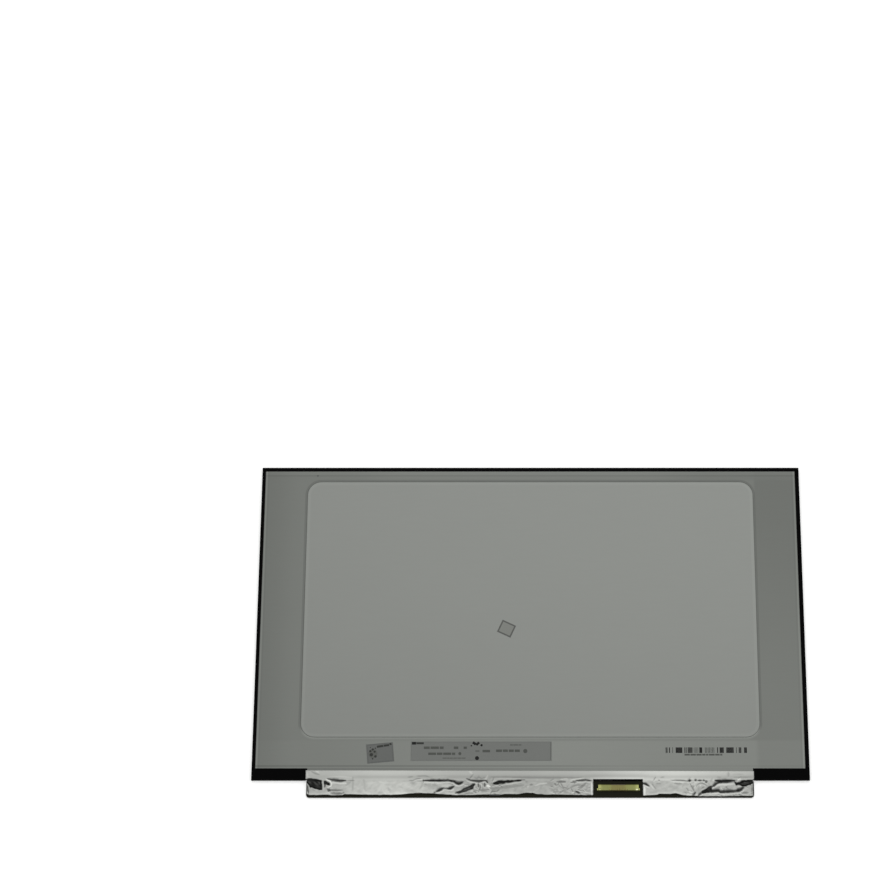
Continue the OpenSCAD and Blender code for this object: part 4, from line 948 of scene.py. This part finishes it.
# %% Build the front foil
FRONT_ROWS, FRONT_COLUMNS = 20, 560
front_low, front_high = span("front_foil")
front_share = np.linspace(0, 1, FRONT_ROWS)[:, None]
front_x = np.linspace(front_low[0], front_high[0], FRONT_COLUMNS) + 0 * front_share
front_y = front_high[1] + (front_low[1] - front_high[1]) * front_share + 0 * front_x
facets = wrinkles(front_x, front_y, 80)
front_z = front_high[2] - 0.1 * step(4 * front_share * (1 - front_share), 0, 1) * (0.5 + 0.5 * facets)
left_end = step(front_x, -95, -125)
# Painted shade in the creases, darkest near the left end
front_crease_shade = 1 - (0.1 + 0.4 * left_end) * np.clip(0.4 - facets, 0, 1)
front_foil = foil_sheet("Creased_front_foil", "front_foil", front_x, front_y, front_z, front_crease_shade)

# %% [markdown]
# ## Foil: the finish
#
# Rolled aluminium foil is bright on its highlights and grey elsewhere, because it mirrors the room
# through a fine satin roll grain. The slopes of the mesh alone would draw the folds, but fainter than real
# ones, whose walls are steeper than a grid can follow. So the painted shade and highlights of the folds and
# pockets, and the painted light along the foil, are kept on the mesh as its tone and multiply the colour.

# %% Satin aluminium foil
def paint_foil(tree, place):
    """Grey metal times the painted light and shade that the mesh carries as its tone."""
    return srgb("#92938f")[:3], [add(tree, "Attribute", attribute_name="tone").outputs["Fac"]]


# Rolled between ground steel rolls: a satin mirror. Its grain of about 0.05 mm is drawn at 0.5 mm to show
foil_finish = finish("Satin_aluminium_foil", "#92938f", 0.36, paint_foil, grain_mm=0.5, tone=0.05,
                     stretch=(1, 2.5, 1), drift_mm=12, metallic=1.0, relief_mm=0.025)
for foil in (rear_foil, front_foil):
    foil.data.materials.append(foil_finish)
print("the foils are dressed")

# %% [markdown]
# ## Labels, sticker and print
#
# The labels are clear-coated film in a grey close to the metal. What is printed on the real ones is left
# off: plain bars stand for the lines of print, at the size and spacing that such lines have. They could be
# drawn in the finish, but marks of their own stay sharp from near. Each is a wafer of ink 0.01 mm thick,
# and all wafers of one ink on one label are one mesh.

# %% Outlines of marks
def bar(x0, y0, x1, y1):
    """Outline of an upright bar, turning left."""
    return np.array([(x0, y0), (x1, y0), (x1, y1), (x0, y1)])


def stroke(ax, ay, bx, by, width):
    """Outline of a slanting bar of that width about the line from a to b."""
    along = np.array([bx - ax, by - ay]) / math.hypot(bx - ax, by - ay)
    side = np.array([along[1], -along[0]]) * width / 2
    return np.array([(ax, ay), (bx, by), (bx, by), (ax, ay)]) + np.array([side, side, -side, -side])


def dot(x, y, radius, sides=12):
    """Outline of a round dot."""
    turn = np.arange(sides) * 2 * math.pi / sides
    return np.stack([x + radius * np.cos(turn), y + radius * np.sin(turn)], -1)


def words(x0, x1, y, height, seed):
    """Bars for one line of print: word after word of seeded width, with gaps of a third of the height."""
    widths = np.random.default_rng(seed).uniform(1.2, 3.4, 60) * height
    ends = x0 + np.cumsum(widths + height / 3)
    keep = ends < x1
    return [bar(end - w, y - height / 2, end, y + height / 2) for end, w in zip(ends[keep], widths[keep])]


print("a line of print 20 mm long has", len(words(0, 20, 0, 1.6, 1)), "words")

# %% Wafers of ink
INK_THICK = 0.01


def ink(name, outlines, z, finish_of_ink):
    """One mesh of wafers, each an outline at z and the same one INK_THICK above it, with side walls.

    Every outline of n points becomes 2 n points and n + 2 faces: base turned round, top, and n walls.
    """
    points, faces = [], []
    for outline in outlines:
        n, first = len(outline), len(points)
        base, top = range(first, first + n), range(first + n, first + 2 * n)
        points += [(*p, z) for p in outline] + [(*p, z + INK_THICK) for p in outline]
        faces += [tuple(reversed(base)), tuple(top)]
        faces += [(base[k], base[(k + 1) % n], top[(k + 1) % n], top[k]) for k in range(n)]
    mesh = bpy.data.meshes.new(name)
    mesh.from_pydata((np.array(points) * MM).tolist(), [], faces)
    mesh.materials.append(finish_of_ink)
    new_piece(name, mesh)
    print(name, "-", len(outlines), "marks")


# Ink pressed through a screen dries matt and a little uneven, and wears from black towards grey
bold_ink, worn_ink, plain_ink, faint_ink = (
    finish(name, colour, 0.5, specular=specular, grain_mm=0.4, tone=tone, relief_mm=0.002)
    for name, colour, specular, tone in (
        ("Bold_label_ink", "#161715", 0.15, 0.12), ("Worn_label_ink", "#2e302c", 0.2, 0.12),
        ("Plain_label_ink", "#464843", 0.3, 0.15), ("Faint_label_ink", "#565853", 0.3, 0.15)))

# %% Main label
# Each line of print is (from x, to x, y, height), and its number seeds its words
PLAIN_LINES = [(-67.8, -50.9, -76.7, 1.6), (-48.9, -43.6, -76.7, 1.6), (-42.7, -39.0, -76.7, 1.5),
               (-64.9, -45.9, -80.5, 1.5), (-30.8, -25.5, -78.8, 1.6), (-22.3, -4.8, -78.6, 1.6)]
FAINT_LINES = [(-35.1, -30.9, -78.8, 1.0), (-13.2, -4.2, -74.9, 0.9), (-55.6, -39.0, -83.3, 0.8)]
plain, faint = ([mark for seed, line in enumerate(lines, first) for mark in words(*line, seed)]
                for lines, first in ((PLAIN_LINES, 1), (FAINT_LINES, 7)))
label_z = span("main_label")[1][2]
ink("Main_label_worn_print", [bar(-71.9, -74.5, -67.3, -73.2)], label_z, worn_ink)
ink("Main_label_bold_print",
    [bar(-74.8, -74.7, -72.1, -73.0), stroke(-36.4, -73.2, -34.5, -74.6, 1.6),
     stroke(-34.2, -75.0, -32.4, -73.3, 1.5), dot(-30.9, -75.1, 0.75), dot(-37.3, -75.4, 0.5),
     dot(-33.7, -83.3, 1.3)], label_z, bold_ink)
ink("Main_label_plain_print", plain + [dot(-44.5, -80.4, 1.0), dot(-3.3, -78.8, 1.35)], label_z,
    plain_ink)
ink("Main_label_faint_print", faint + [bar(12.4, -84.6, 12.8, -73.1)], label_z, faint_ink)

# %% Small label
small_z = span("small_label")[1][2]
marks = [dot(x, y, radius) for x, y, radius in (
    (-100.2, -81.1, 1.1), (-100.9, -78.9, 0.75), (-99.4, -77.8, 0.75), (-98.2, -79.2, 0.7),
    (-97.6, -82.2, 0.8), (-99.4, -83.7, 0.5), (-97.8, -77.0, 0.45), (-100.9, -76.6, 0.35))]
marks += [stroke(-96.8, -76.1, -92.9, -75.5, 1.35), stroke(-92.6, -75.4, -89.1, -75.0, 1.3),
          stroke(-88.9, -74.5, -87.7, -74.2, 1.2)]
ink("Small_label_ground", [dot(-99.3, -80.4, 2.9, 20)], small_z, faint_ink)
ink("Small_label_print", marks, small_z + INK_THICK + 0.002, worn_ink)

# %% The stripes on the plate
# As (left, right, share of ink): each run is cut into plain bars on a pitch of about 0.85 mm. It is no code
RUNS = [(85.1, 86.4, 0.75), (87.2, 88.3, 0.55), (89.3, 90.4, 0.25), (91.4, 95.6, 0.95), (96.9, 98.7, 0.5),
        (99.0, 102.1, 0.8), (102.9, 106.0, 0.3), (106.3, 108.1, 1.0), (109.9, 116.2, 0.35),
        (117.5, 118.5, 0.6), (119.1, 121.7, 0.93), (123.3, 128.0, 0.93), (129.5, 130.6, 0.3),
        (131.1, 132.9, 0.8), (134.5, 136.3, 0.95)]
STRIPE_PITCH = 0.85
land_z = span("main_label")[0][2]
stripes = []
for left, right, share in RUNS:
    pitch = (right - left) / round((right - left) / STRIPE_PITCH)
    stripes += [bar(x, -80.0, x + share * pitch, -76.45) for x in np.arange(left, right - 0.1, pitch)]
ink("Plate_stripes", stripes, land_z, bold_ink)
ink("Plate_stripes_caption", words(96.5, 121.9, -81.1, 1.1, 13), land_z, plain_ink)

# %% Tinned tabs under the shell's lock windows
# Through the two windows in the shell shine the tinned tabs that hold it. They are as thin as the print
TAB_OFFSET = 11.6
tab_z = span("receptacle_moulding")[1][2]
tab_y = shell_low[1] + 1.15
tabs = [bar(x - 0.75, tab_y - 0.4, x + 0.75, tab_y + 0.4)
        for x in (shell_middle - TAB_OFFSET, shell_middle + TAB_OFFSET)]


def paint_tabs(tree, place):
    """The left tab is olive. The right one is bright."""
    x = add(tree, "SeparateXYZ", {0: place}).outputs["X"]
    return colour_change(tree, x, shell_middle - 1, shell_middle + 1, srgb("#8f9160"), srgb("#c4c59c")), []


# Tin melted on brass: a bright, slightly rippled mirror
ink("Tinned_lock_tabs", tabs, tab_z,
    finish("Bright_tin_plating", "#c4c59c", 0.3, paint_tabs, grain_mm=0.3, metallic=1.0, relief_mm=0.004))

# %% [markdown]
# ## The label films
#
# Both labels are satin film with a faintly darker rim, where the cutting die pressed it. The centre
# sticker is a turned square with a dark frame. The frame could be one more wafer of ink, but it fades
# softly, so it is a tone in the finish: the mesh is turned, and a Mapping node turns the coordinates back
# to the sticker's own axes before the distance is measured.

# %% Label films and sticker
def film(name, node, colour, size, turn, rim, rim_factor):
    """Satin film for one label of that size, turned by turn degrees, with a rim in another tone."""
    low, high = span(node)
    middle = [(low[i] + high[i]) / 2 for i in (0, 1)]

    def paint_rim(tree, place):
        """Distance from the edge in the label's own axes: max(|x| - half width, |y| - half height)."""
        own = add(tree, "Mapping", {"Vector": place, "Location": (*middle, 0),
                                    "Rotation": (0, 0, math.radians(turn))}, vector_type="TEXTURE")
        folded = add(tree, "VectorMath", {0: own}, operation="ABSOLUTE")
        gap = add(tree, "VectorMath", {0: folded, 1: (size[0] / 2, size[1] / 2, 0)}, operation="SUBTRACT")
        axes = add(tree, "SeparateXYZ", {0: gap})
        near = add(tree, "Math", {0: axes.outputs["X"], 1: axes.outputs["Y"]}, operation="MAXIMUM")
        edge = add(tree, "MapRange", {0: near, 1: -rim - 0.2, 2: -rim + 0.1, 3: 1, 4: rim_factor}, **SMOOTH)
        return srgb(colour)[:3], [edge]

    # Clear varnish over print: satin, with one broad soft highlight
    dress(node, name, colour, 0.5, paint_rim, ior=1.55, specular=0.3, tone=0.05, relief_mm=0.005)


film("Grey_label_film", "main_label", "#6c6e6a", (88.8, 12.3), 0, 0.7, 0.93)
film("Dark_label_film", "small_label", "#5e605d", (16.9, 12.2), 5, 0.9, 0.85)
film("Framed_sticker", "centre_sticker", "#7a7c76", (9.5, 8.6), -25, 0.9, 0.42)
print("labels are dressed")
